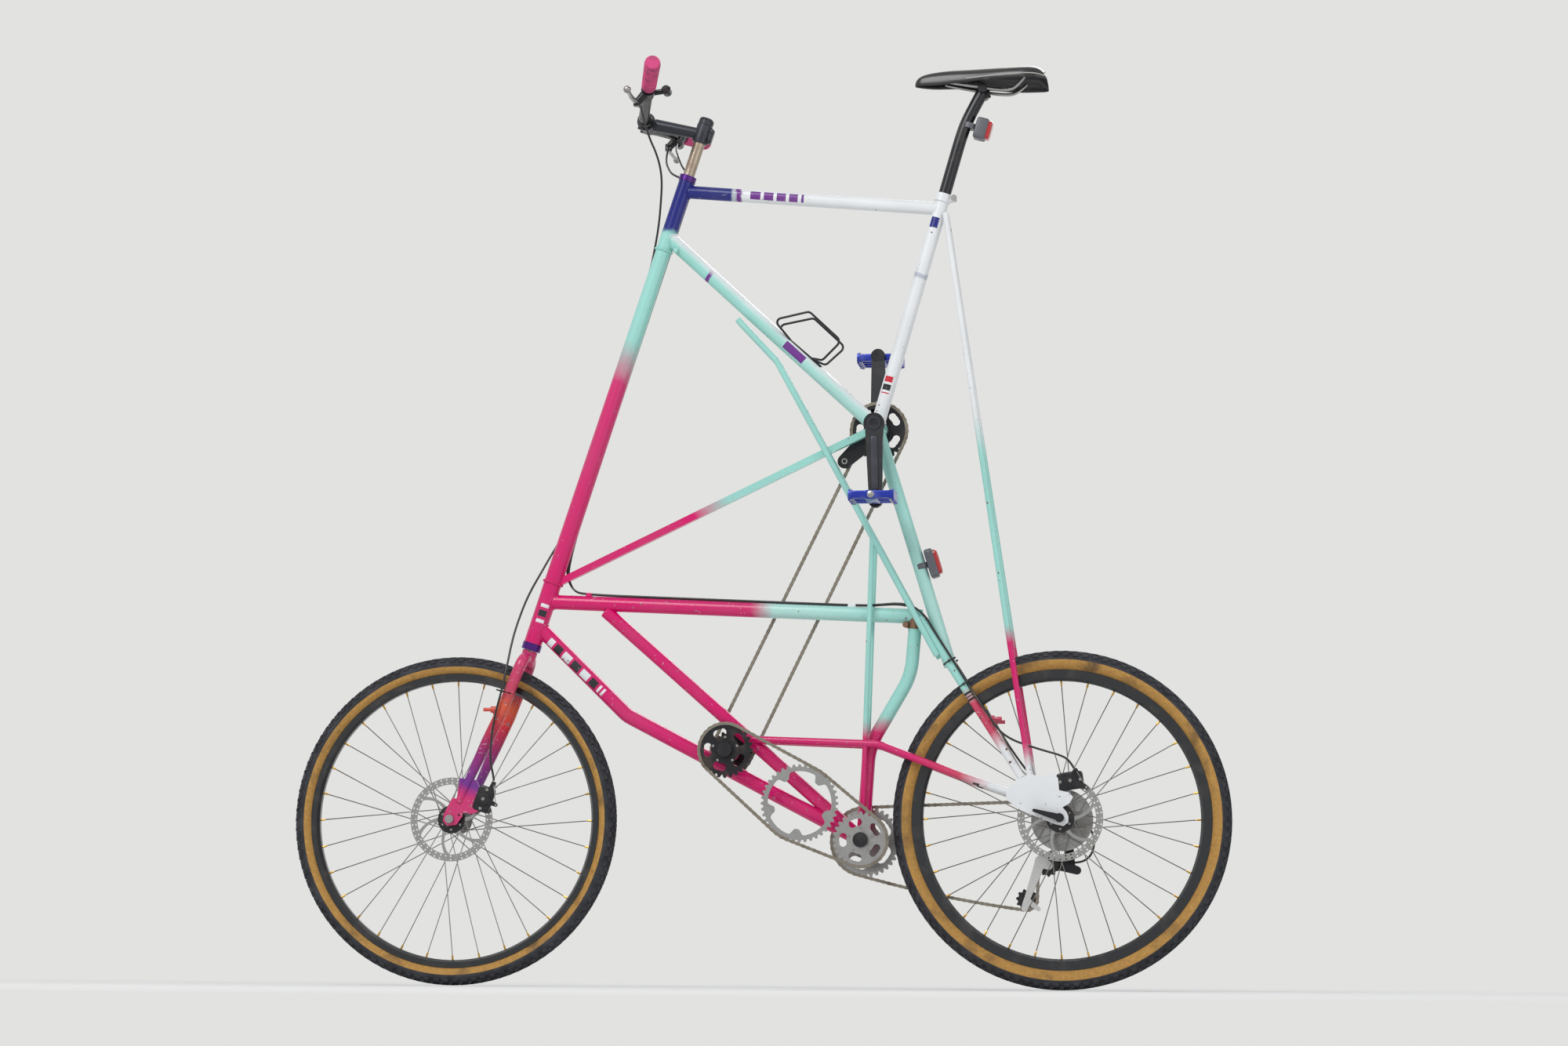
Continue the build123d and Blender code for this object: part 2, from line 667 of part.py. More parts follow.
def pedal(side):
    """Flat pedal that turns on its pin."""
    angle = math.radians(CRANK_ANGLE + (0.0 if side < 0 else 180.0))
    end = (
        UPPER_BRACKET[0] + CRANK_LENGTH * math.cos(angle),
        UPPER_BRACKET[1] + CRANK_LENGTH * math.sin(angle),
    )
    centre = Plane(origin=at(end, side * PEDAL_Y))
    frame_box = centre * Box(PEDAL_LENGTH, 2 * PEDAL_HALF, PEDAL_T)
    for shift in (-1, 1):
        opening = Plane(origin=at((end[0] + shift * 29.0, end[1]), side * PEDAL_Y)) * Box(30.0, 60.0, PEDAL_T + 2)
        frame_box = frame_box - opening
    bore = side_disc(end, side * 60.0, side * (PEDAL_Y + PEDAL_HALF - 5.5), PEDAL_PIN_R + RUNNING_CLEARANCE)
    return frame_box - bore


keep("left_pedal", pedal(-1))
keep("right_pedal", pedal(1))

# Jackshaft, lower spindle and the loose ring
jack_spindle = side_disc(JACKSHAFT, -RING_Y - 6.0, RING_Y + 6.0, SPINDLE_R)
keep(
    "jackshaft",
    jack_spindle
    + sprocket(JACKSHAFT, JACK_NEAR_TEETH, -RING_Y, 0.0, arms=5, window=(30.0, 46.0))
    + sprocket(JACKSHAFT, JACK_FAR_TEETH, RING_Y, 0.0),
)
lower_spindle = side_disc(LOWER_BRACKET, -RING_Y - 6.0, RING_Y + 6.0, SPINDLE_R)
keep(
    "lower_axle",
    lower_spindle
    + sprocket(LOWER_BRACKET, LOWER_NEAR_TEETH, -RING_Y, 0.0, arms=5, window=(30.0, 46.0))
    + sprocket(LOWER_BRACKET, LOWER_FAR_TEETH, RING_Y, 0.0, arms=5, window=(36.0, 60.0)),
)
keep("ghost_ring", sprocket(GHOST_CENTRE, GHOST_TEETH, -RING_Y, 54.0))

# Derailleur behind the right dropout
cage_y = RING_Y
cage_plate = side_plate(
    [
        (GUIDE_PULLEY[0] - 9.0, GUIDE_PULLEY[1] + 6.0), (GUIDE_PULLEY[0] + 9.0, GUIDE_PULLEY[1] + 8.0),
        (TENSION_PULLEY[0] + 12.0, TENSION_PULLEY[1] - 10.0), (TENSION_PULLEY[0] - 10.0, TENSION_PULLEY[1] - 8.0),
    ],
    cage_y + 4.6,
    cage_y + 6.6,
)
inner_plate = side_plate(
    [
        (GUIDE_PULLEY[0] - 9.0, GUIDE_PULLEY[1] + 6.0), (GUIDE_PULLEY[0] + 9.0, GUIDE_PULLEY[1] + 8.0),
        (TENSION_PULLEY[0] + 12.0, TENSION_PULLEY[1] - 10.0), (TENSION_PULLEY[0] - 10.0, TENSION_PULLEY[1] - 8.0),
    ],
    cage_y - 6.6,
    cage_y - 4.6,
)
pulleys = [
    side_disc(GUIDE_PULLEY, cage_y - 1.0, cage_y + 1.0, PULLEY_R + 1.5),
    side_disc(TENSION_PULLEY, cage_y - 1.0, cage_y + 1.0, PULLEY_R + 1.5),
]
pulley_pins = [
    side_disc(GUIDE_PULLEY, cage_y - 4.6, cage_y + 4.6, 5.0),
    side_disc(TENSION_PULLEY, cage_y - 4.6, cage_y + 4.6, 5.0),
]
arm_link = side_plate(
    [(GUIDE_PULLEY[0] - 14.0, GUIDE_PULLEY[1] - 10.0), (GUIDE_PULLEY[0] + 6.0, GUIDE_PULLEY[1] - 12.0),
     (20.0, 268.0), (24.0, 345.0), (4.0, 344.0), (-2.0, 284.0), (GUIDE_PULLEY[0] - 12.0, GUIDE_PULLEY[1] + 8.0)],
    REAR_HUB_HALF + DROPOUT_T,
    REAR_HUB_HALF + DROPOUT_T + 12.0,
)
link_pin = side_disc(GUIDE_PULLEY, cage_y + 6.6, REAR_HUB_HALF + DROPOUT_T, 9.0)
keep(
    "derailleur",
    pulleys[0] + pulley_pins[0] + cage_plate + inner_plate + pulleys[1] + pulley_pins[1] + link_pin + arm_link,
)

# Idler that presses the long chain inwards
idler_arm = side_plate(
    [
        (IDLER[0] - 8.0, IDLER[1] - 4.0), (IDLER[0] + 2.0, IDLER[1] - 10.0),
        (UPPER_BRACKET[0] - 14.0, UPPER_BRACKET[1] - 14.0), (UPPER_BRACKET[0] - 22.0, UPPER_BRACKET[1] - 4.0),
    ],
    SHELL_HALF,
    SHELL_HALF + 4.0,
)
idler_plate = ring_between(
    at(UPPER_BRACKET, SHELL_HALF), at(UPPER_BRACKET, SHELL_HALF + 4.0), SHELL_R + 4.0, bore_r
)
idler_roller = side_disc(IDLER, RING_Y - 1.8, RING_Y + 1.8, IDLER_R - 4.8)
idler_pin = side_disc(IDLER, SHELL_HALF, RING_Y + 6.0, 4.0)
keep("chain_idler", idler_arm + idler_plate + idler_roller + idler_pin)


# Wheels


def revolved(points, centre):
    """Ring from a cross section of (y, radius) points and arcs round a wheel's axle."""
    face = make_face(points)
    return revolve(face, axis=Axis(at(centre), (0, 1, 0)), revolution_arc=360.0)


def tyre(centre, outer, half, rim_half):
    """Plain tyre: beads between the rim flanges, round walls and a round crown."""
    x, z = centre

    def spot(y, radius):
        return at((x, z + radius), y)

    bead = rim_half - RIM_WALL - 0.1
    wall_r = (RIM_FLANGE_R + outer) / 2
    profile = [
        Line(spot(-bead, RIM_BED_R + 0.1), spot(bead, RIM_BED_R + 0.1)),
        Line(spot(bead, RIM_BED_R + 0.1), spot(bead, RIM_FLANGE_R + 0.2)),
        ThreePointArc(spot(bead, RIM_FLANGE_R + 0.2), spot(half - 3.0, wall_r - 9.0), spot(half, wall_r)),
        ThreePointArc(spot(half, wall_r), spot(half * 0.72, outer - (outer - wall_r) * 0.28), spot(0.0, outer)),
        ThreePointArc(spot(0.0, outer), spot(-half * 0.72, outer - (outer - wall_r) * 0.28), spot(-half, wall_r)),
        ThreePointArc(spot(-half, wall_r), spot(-half + 3.0, wall_r - 9.0), spot(-bead, RIM_FLANGE_R + 0.2)),
        Line(spot(-bead, RIM_FLANGE_R + 0.2), spot(-bead, RIM_BED_R + 0.1)),
    ]
    return revolved(profile, centre)


def rim(centre, inner, rim_half):
    """Double wall rim, solid between its bed and its inner edge."""
    x, z = centre

    def spot(y, radius):
        return at((x, z + radius), y)

    corners = [
        (-rim_half, RIM_FLANGE_R), (-rim_half, inner + 5.0), (-rim_half * 0.45, inner), (rim_half * 0.45, inner),
        (rim_half, inner + 5.0), (rim_half, RIM_FLANGE_R), (rim_half - RIM_WALL, RIM_FLANGE_R),
        (rim_half - RIM_WALL, RIM_BED_R), (-rim_half + RIM_WALL, RIM_BED_R), (-rim_half + RIM_WALL, RIM_FLANGE_R),
    ]
    return revolved(Polyline(*[spot(*corner) for corner in corners], close=True), centre)


def hub(centre, half, flanges):
    """Hub shell with two spoke flanges and the rotor seat, bored for the axle."""
    left, right = flanges
    end = half - LOCKNUT_T - 0.4
    body = side_disc(centre, -end, end, 11.0)
    body = body + side_disc(centre, left, right, HUB_SHELL_R)
    for y in flanges:
        body = body + side_disc(centre, y - FLANGE_T / 2, y + FLANGE_T / 2, FLANGE_R)
    return body - side_disc(centre, -half, half, AXLE_R + RUNNING_CLEARANCE)


def spokes(centre, rim_inner, flanges):
    """Crossed spokes from both flanges to the rim."""
    made = []
    for index in range(SPOKES):
        side = index % 2
        lead = 1 if (index // 2) % 2 else -1
        rim_angle = 2 * math.pi * index / SPOKES
        hub_angle = rim_angle + lead * math.radians(67.5)
        hub_spot = (
            centre[0] + (FLANGE_R - 3.0) * math.cos(hub_angle),
            centre[1] + (FLANGE_R - 3.0) * math.sin(hub_angle),
        )
        rim_spot = (centre[0] + (rim_inner + 1.0) * math.cos(rim_angle), centre[1] + (rim_inner + 1.0) * math.sin(rim_angle))
        y = flanges[side] + lead * (FLANGE_T / 2 + SPOKE_R * 0.4)
        made.append((at(hub_spot, y), at(rim_spot, 0.0)))
    return made


def spoke_bar(start, end):
    """Thin bar of six sides."""
    axis = end - start
    return extrude(Plane(origin=start, z_dir=axis) * RegularPolygon(SPOKE_R, 4), amount=axis.length)


def rotor(centre, y, shell_end):
    """Brake rotor: a band, curved arms drawn straight, and a carrier on the hub."""
    low, high = y - ROTOR_T / 2, y + ROTOR_T / 2
    band = side_disc(centre, low, high, ROTOR_R) - side_disc(centre, low, high, ROTOR_R - ROTOR_BAND)
    carrier = side_disc(centre, low, high, ROTOR_CARRIER_R)
    body = band + carrier
    for index in range(6):
        angle = math.radians(60.0 * index)
        lean_angle = angle + math.radians(22.0)
        inner = (centre[0] + (ROTOR_CARRIER_R - 3) * math.cos(angle), centre[1] + (ROTOR_CARRIER_R - 3) * math.sin(angle))
        outer_r = ROTOR_R - ROTOR_BAND + 2.0
        outer = (centre[0] + outer_r * math.cos(lean_angle), centre[1] + outer_r * math.sin(lean_angle))
        start, end = at(inner, y), at(outer, y)
        axis = end - start
        base = Plane(origin=start, x_dir=(0, 1, 0), z_dir=axis)
        arm = base * Box(ROTOR_T, 7.0, axis.length, align=(Align.CENTER, Align.CENTER, Align.MIN))
        body = body + arm
    return body - side_disc(centre, low - 1, high + 1, 11.0)


REAR_FLANGES = (-27.0, 17.0)
FRONT_FLANGES = (-22.0, 33.0)
for label, centre, outer, half, inner, flanges, hub_half, rotor_y in (
    ("rear", rear_centre, REAR_TYRE_R, REAR_TYRE_HALF, REAR_RIM_INNER_R, REAR_FLANGES, REAR_HUB_HALF, REAR_ROTOR_Y),
    ("front", front_centre, FRONT_TYRE_R, FRONT_TYRE_HALF, FRONT_RIM_INNER_R, FRONT_FLANGES, FRONT_HUB_HALF, FRONT_ROTOR_Y),
):
    keep(label + "_tyre", tyre(centre, outer, half, RIM_HALF))
    rim_body = rim(centre, inner, RIM_HALF)
    keep(label + "_rim", rim_body)
    hub_body = hub(centre, hub_half, flanges)
    bars = [spoke_bar(start, end) for start, end in spokes(centre, inner, flanges)]
    keep(label + "_spoked_hub", hub_body.fuse(*solids_of(*bars)) - rim_body)
    keep(label + "_rotor", rotor(centre, rotor_y, None))

# Cogs on the rear hub
cogs = side_disc(rear_centre, 22.0, 60.0, 17.0)
for index, teeth in enumerate((32, 28, 24)):
    middle = 25.0 + 5.0 * index
    cogs = cogs + side_disc(rear_centre, middle - 0.9, middle + 0.9, pitch_radius(teeth) + 1.0)
cogs = cogs + sprocket(rear_centre, COG_TEETH, RING_Y, 0.0)
for index, teeth in enumerate((17, 15)):
    middle = 50.0 + 5.0 * index
    cogs = cogs + side_disc(rear_centre, middle - 0.9, middle + 0.9, pitch_radius(teeth) + 1.0)
cogs = cogs - side_disc(rear_centre, 20.0, 62.0, 11.0 + RUNNING_CLEARANCE)
keep("cassette", cogs)


def axle(centre, half, plate):
    """Fixed axle with locknuts inside the dropouts and nuts outside them."""
    body = side_disc(centre, -half - plate - 9.0, half + plate + 9.0, AXLE_R)
    for side in (-1, 1):
        body = body + side_disc(centre, side * (half - LOCKNUT_T), side * half, LOCKNUT_R)
        body = body + side_disc(centre, side * (half + plate), side * (half + plate + 8.0), LOCKNUT_R)
    return body


keep("rear_axle", axle(rear_centre, REAR_HUB_HALF, DROPOUT_T))
keep("front_axle", axle(front_centre, FRONT_HUB_HALF, DROPOUT_T))

# Fork, with round blades raked forward and flat ends
CROWN_Y = 40.0
FORK_END_Y = FRONT_HUB_HALF + DROPOUT_T / 2
BLADE_R = 12.5
BLADE_AT_POST_X = -1200.0
BLADE_AT_POST_Y = 47.8


def fork_blade(side):
    """Upper part of one blade, out from the steerer and down beside the tyre."""
    places = [
        at(column(CROWN_HEIGHT - 2.0), side * 6.0), at(column(CROWN_HEIGHT + 2.0), side * 44.0),
        at((-1204.0, 580.0), side * 48.0), at((-1233.0, 518.0), side * 50.0),
    ]
    return bent_rod(places, [24.0, 120.0], BLADE_R)


def fork_tip(side):
    """Lower part of one blade, tapered to its end."""
    return rod(at((-1233.0, 518.0), side * 50.0), at((-1291.0, 390.0), side * FORK_END_Y), BLADE_R, 8.0)


def fork_end(side):
    """Flat end that holds the axle."""
    x, z = front_centre
    low = side * FRONT_HUB_HALF
    high = side * (FRONT_HUB_HALF + DROPOUT_T)
    outline = [
        (x + 5.0, z + 46.0), (x + 27.0, z + 40.0), (x + 27.0, z + 6.0), (x + 14.0, z - 12.0), (x - 6.0, z - 15.0),
        (x - 15.0, z - 4.0), (x - 13.0, z + 12.0),
    ]
    plate = side_plate(outline, min(low, high), max(low, high))
    plate = plate - side_disc((x + 20.0, z + 9.0), -80.0, 80.0, EYELET_R)
    if side < 0:
        tab = [
            (x + 14.0, z + 40.0), (x + 20.0, z + 88.0), (x + 56.0, z + 84.0), (x + 68.0, z + 62.0),
            (x + 66.0, z + 20.0), (x + 52.0, z + 12.0), (x + 26.0, z + 14.0),
        ]
        plate = plate + side_plate(tab, min(low, high), max(low, high))
    return plate - side_disc(front_centre, -80.0, 80.0, AXLE_R)


neck = rod(at(column(CROWN_HEIGHT - 14.0)), at(column(LOWER_CUP_BOTTOM - 1.0)), 16.5)
crown_zone = Plane(origin=at(column(CROWN_HEIGHT - 22.0)), z_dir=at(column(900.0)) - at(column(700.0))) * Box(
    200.0, 200.0, 120.0, align=(Align.CENTER, Align.CENTER, Align.MIN)
)
crown = neck
blades = []
for side in (-1, 1):
    whole_blade = fork_blade(side) + (Plane(origin=at((-1233.0, 518.0), side * 50.0)) * Sphere(BLADE_R))
    whole_blade = whole_blade + fork_tip(side) + fork_end(side)
    crown = crown + (whole_blade & crown_zone)
    post = brake_post(BLADE_AT_POST_X, FRONT_POST_HEIGHT, side * BLADE_AT_POST_Y, FRONT_POST_REACH, -1)
    blade = (whole_blade + post) - crown_zone - side_disc(front_centre, -80.0, 80.0, AXLE_R)
    blades.append(trimmed(blade))
fork_body = crown
for piece in blades:
    fork_body = fork_body + piece
keep("fork_crown", crown)
keep("fork_blades", *blades)
keep("steerer", trimmed(steerer_whole, crown))

# Stem, top cap and bar
bar_line = [
    at(BAR_END, -BAR_HALF), at(BAR_CENTRE, -BAR_BEND_Y), at(BAR_CENTRE, BAR_BEND_Y), at(BAR_END, BAR_HALF),
]
bar_solid = bent_rod(bar_line, [70.0, 70.0], BAR_R)
bar_solid = bar_solid + side_disc(BAR_CENTRE, -BAR_BULGE_HALF, BAR_BULGE_HALF, BAR_BULGE_R)
keep("handlebar", bar_solid)
stem_body = rod(at(column(STEM_BOTTOM)), at(column(STEM_TOP)), 18.0)
stem_body = stem_body + rod(at(column((STEM_BOTTOM + STEM_TOP) / 2)), at(BAR_CENTRE), STEM_R)
stem_body = stem_body + side_disc(BAR_CENTRE, -STEM_CLAMP_HALF, STEM_CLAMP_HALF, STEM_CLAMP_R)
cap = rod(at(column(STEM_TOP)), at(column(STEM_TOP + TOP_CAP_T)), 17.0)
stem_body = (stem_body + cap) - bar_solid - steerer_whole
keep("stem", trimmed(stem_body))


def along_bar(side, from_end):
    """Point on the bar's axis, measured in from its end."""
    end = at(BAR_END, side * BAR_HALF)
    bend = at(BAR_CENTRE, side * BAR_BEND_Y)
    return end + (bend - end).normalized() * from_end


grips = []
levers = []
for side in (-1, 1):
    grip = rod(along_bar(side, -3.0), along_bar(side, GRIP_LENGTH), GRIP_R)
    grip = grip + rod(along_bar(side, GRIP_LENGTH - 4.0), along_bar(side, GRIP_LENGTH), GRIP_FLANGE_R)
    grip = grip + rod(along_bar(side, -3.0), along_bar(side, 3.0), GRIP_FLANGE_R)
    grips.append(grip - bar_solid)
    clamp = rod(along_bar(side, GRIP_LENGTH + 12.0), along_bar(side, GRIP_LENGTH + 34.0), 17.0)
    pivot = along_bar(side, GRIP_LENGTH + 22.0) + Vector(-24.0, 0.0, -6.0)
    mount = rod(along_bar(side, GRIP_LENGTH + 22.0), pivot, 9.0)
    blade_path = [pivot, pivot + Vector(-28.0, side * 22.0, -2.0), along_bar(side, 40.0) + Vector(-62.0, 0.0, -16.0)]
    blade = bent_rod(blade_path, [14.0], 5.5)
    levers.append((clamp + mount + blade) - bar_solid)
keep("grips", *grips)
keep("brake_levers", *levers)


def rotor_gap(centre, y):
    """Space that the rotor turns in."""
    return side_disc(centre, y - ROTOR_T / 2 - 1.2, y + ROTOR_T / 2 + 1.2, ROTOR_R + 6.0)


def caliper(place, y_low, y_high, long, wide, turn, rotor_space):
    """Brake caliper: a block with rounded corners that straddles its rotor."""
    middle = (y_low + y_high) / 2
    base = Plane(origin=at(place, middle)) * Rot(0, turn, 0)
    block = base * Box(long, y_high - y_low, wide)
    return block - rotor_space


front_caliper = caliper(
    (-1232.0, 395.0), -FRONT_HUB_HALF, -FRONT_HUB_HALF + 22.0, 34.0, 48.0, 20.0,
    rotor_gap(front_centre, FRONT_ROTOR_Y),
)
keep("front_caliper", *[piece for piece in solids_of(front_caliper) if piece.volume > 400.0])
rear_caliper = caliper(
    (12.0, 436.0), -REAR_HUB_HALF, -REAR_HUB_HALF + 27.0, 58.0, 32.0, -40.0,
    rotor_gap(rear_centre, REAR_ROTOR_Y),
)
keep("rear_caliper", *[piece for piece in solids_of(rear_caliper) if piece.volume > 400.0])

# Rear lights
post_spot = on_seat_tube(1846.0)
light_high = Plane(origin=at((post_spot[0] + POST_R + 14.0, post_spot[1]))) * Box(28.0, 34.0, 26.0)
light_high = light_high - seat_post_solid
light_low = Plane(origin=at((-270.0, 905.0))) * Box(30.0, 34.0, 44.0)
light_low = light_low - rod(at(UPPER_BRACKET), at(BRIDGE), SEAT_TUBE_R)
keep("rear_lights", trimmed(light_high), trimmed(light_low))

# Bottle cage of bent wire above the upper down tube
cage_wires = []
for side in (-1, 1):
    wire_path = [
        at((-585.0, 1396.0), side * 9.0), at((-618.0, 1436.0), side * 34.0), at((-540.0, 1452.0), side * 38.0),
        at((-470.0, 1386.0), side * 38.0), at((-512.0, 1346.0), side * 30.0), at((-536.0, 1354.0), side * 9.0),
    ]
    cage_wires.append(bent_rod(wire_path, [10.0, 12.0, 12.0, 10.0], 2.5))
bracket = Plane(
    origin=at((-553.0, 1364.0)), x_dir=(0, 1, 0), z_dir=(Vector(-0.752, 0, 0.659))
) * Box(20.0, 9.0, 90.0)
bracket = trimmed(bracket, upper_down_tube)
cage_body = bracket
for wire in cage_wires:
    cage_body = cage_body + wire
keep("bottle_cage", cage_body - upper_down_tube)

total = 0
for name, shapes in nodes.items():
    export_step(Compound(shapes), "parts/" + name + ".step")
    total += len(shapes)
print(len(nodes), "nodes,", total, "solids")
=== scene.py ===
"""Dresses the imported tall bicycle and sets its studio.

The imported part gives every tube, wheel and casting at its place. This script
paints the frame in its sprayed colours, lays link chains, knobbed tyres,
perforated brake discs, weld beads and small fasteners on it, and films it from
floor level. Sizes are millimetres where they repeat a size of the bicycle and
metres where Blender takes them. `spot` turns a place beside the rear wheel, as
x and height above the ground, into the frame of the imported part.
"""
import logging
import math
from dataclasses import dataclass
from enum import Enum

import bmesh
import bpy
import numpy as np
from mathutils import Matrix, Vector


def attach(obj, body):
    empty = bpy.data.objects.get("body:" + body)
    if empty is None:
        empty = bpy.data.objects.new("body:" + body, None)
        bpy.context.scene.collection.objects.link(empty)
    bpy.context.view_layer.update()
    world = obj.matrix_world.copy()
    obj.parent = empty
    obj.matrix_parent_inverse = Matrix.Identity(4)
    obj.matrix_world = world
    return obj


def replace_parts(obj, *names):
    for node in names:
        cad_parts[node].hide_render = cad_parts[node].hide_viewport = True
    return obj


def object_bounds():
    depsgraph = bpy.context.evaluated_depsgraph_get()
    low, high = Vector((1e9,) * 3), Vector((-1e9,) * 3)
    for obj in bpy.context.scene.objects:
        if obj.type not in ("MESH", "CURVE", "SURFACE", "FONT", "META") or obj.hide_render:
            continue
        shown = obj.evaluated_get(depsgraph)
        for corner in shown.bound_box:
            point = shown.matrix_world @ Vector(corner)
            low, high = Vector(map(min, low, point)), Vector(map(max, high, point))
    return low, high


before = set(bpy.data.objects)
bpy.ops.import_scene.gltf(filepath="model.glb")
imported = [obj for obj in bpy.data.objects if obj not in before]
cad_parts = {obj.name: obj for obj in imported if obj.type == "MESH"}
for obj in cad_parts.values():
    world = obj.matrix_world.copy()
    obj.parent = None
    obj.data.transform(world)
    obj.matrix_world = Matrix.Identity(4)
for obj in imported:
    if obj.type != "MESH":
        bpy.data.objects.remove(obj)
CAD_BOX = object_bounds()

LOG = logging.getLogger("tall bicycle")
MM = 0.001

# Seat point and wheels, beside the ground under the rear axle
SEAT_X = -160.0
SEAT_HEIGHT = 1990.0
REAR_CENTRE = (0.0, 358.0)
FRONT_CENTRE = (-1309.0, 354.0)
RIM_FLANGE_R = 317.0

# Steering column and bracket shells
HEAD_ANGLE = 72.2
FORK_RAKE = 38.6
UPPER_BRACKET = (-396.0, 1202.0)
LOWER_BRACKET = (-422.0, 312.0)
JACKSHAFT = (-714.0, 503.0)
GHOST_CENTRE = (-553.0, 389.0)
IDLER = (-470.0, 1134.0)
GUIDE_PULLEY = (-30.0, 262.0)
TENSION_PULLEY = (-76.0, 189.5)
SHELL_R = 20.0
RING_Y = 45.0
CHAIN_PITCH = 12.7


def spot(x: float, height: float, y: float = 0.0) -> np.ndarray:
    """Turns a place beside the rear wheel into the part's frame.

    Args:
        x: Distance behind the rear axle, in millimetres.
        height: Height above the ground, in millimetres.
        y: Distance to the rider's right, in millimetres.

    Returns:
        The point in metres.
    """
    return np.array((x - SEAT_X, y, height - SEAT_HEIGHT)) * MM


def column(height: float) -> tuple[float, float]:
    """Place on the steering axis, as x and height, at a height above the ground.

    Args:
        height: Height above the ground, in millimetres.

    Returns:
        X and height of the place.
    """
    lean = math.radians(HEAD_ANGLE)
    foot_x = FRONT_CENTRE[0] + FORK_RAKE * math.sin(lean)
    foot_height = FRONT_CENTRE[1] - FORK_RAKE * math.cos(lean)
    return (foot_x + (height - foot_height) / math.tan(lean), height)


def srgb(red: int, green: int, blue: int) -> tuple[float, float, float, float]:
    """Turns a display colour into the linear one that shaders take.

    Args:
        red: Red from 0 to 255.
        green: Green from 0 to 255.
        blue: Blue from 0 to 255.

    Returns:
        Red, green, blue and full alpha.
    """
    shares = np.array((red, green, blue)) / 255
    linear = np.where(shares <= 0.04045, shares / 12.92, ((shares + 0.055) / 1.055) ** 2.4)
    return (*(float(value) for value in linear), 1.0)


class Tint(Enum):
    """Colours of the sprayed frame and its parts."""

    # White paint, and also the tint of the painted highlight along the top of the upper down tube.
    WHITE = srgb(232, 234, 236)
    MINT = srgb(156, 216, 206)
    PALE_MINT = srgb(182, 226, 218)
    PINK = srgb(212, 0, 104)
    SOFT_PINK = srgb(208, 44, 112)
    ROSE = srgb(206, 62, 96)
    ORANGE = srgb(226, 92, 52)
    RED = srgb(204, 30, 52)
    PURPLE = srgb(112, 44, 140)
    MAGENTA = srgb(150, 26, 110)
    BLUE = srgb(10, 22, 122)
    GREY = srgb(186, 192, 204)
    BLACK = srgb(24, 25, 28)
    RUST = srgb(112, 68, 44)


# Node trees


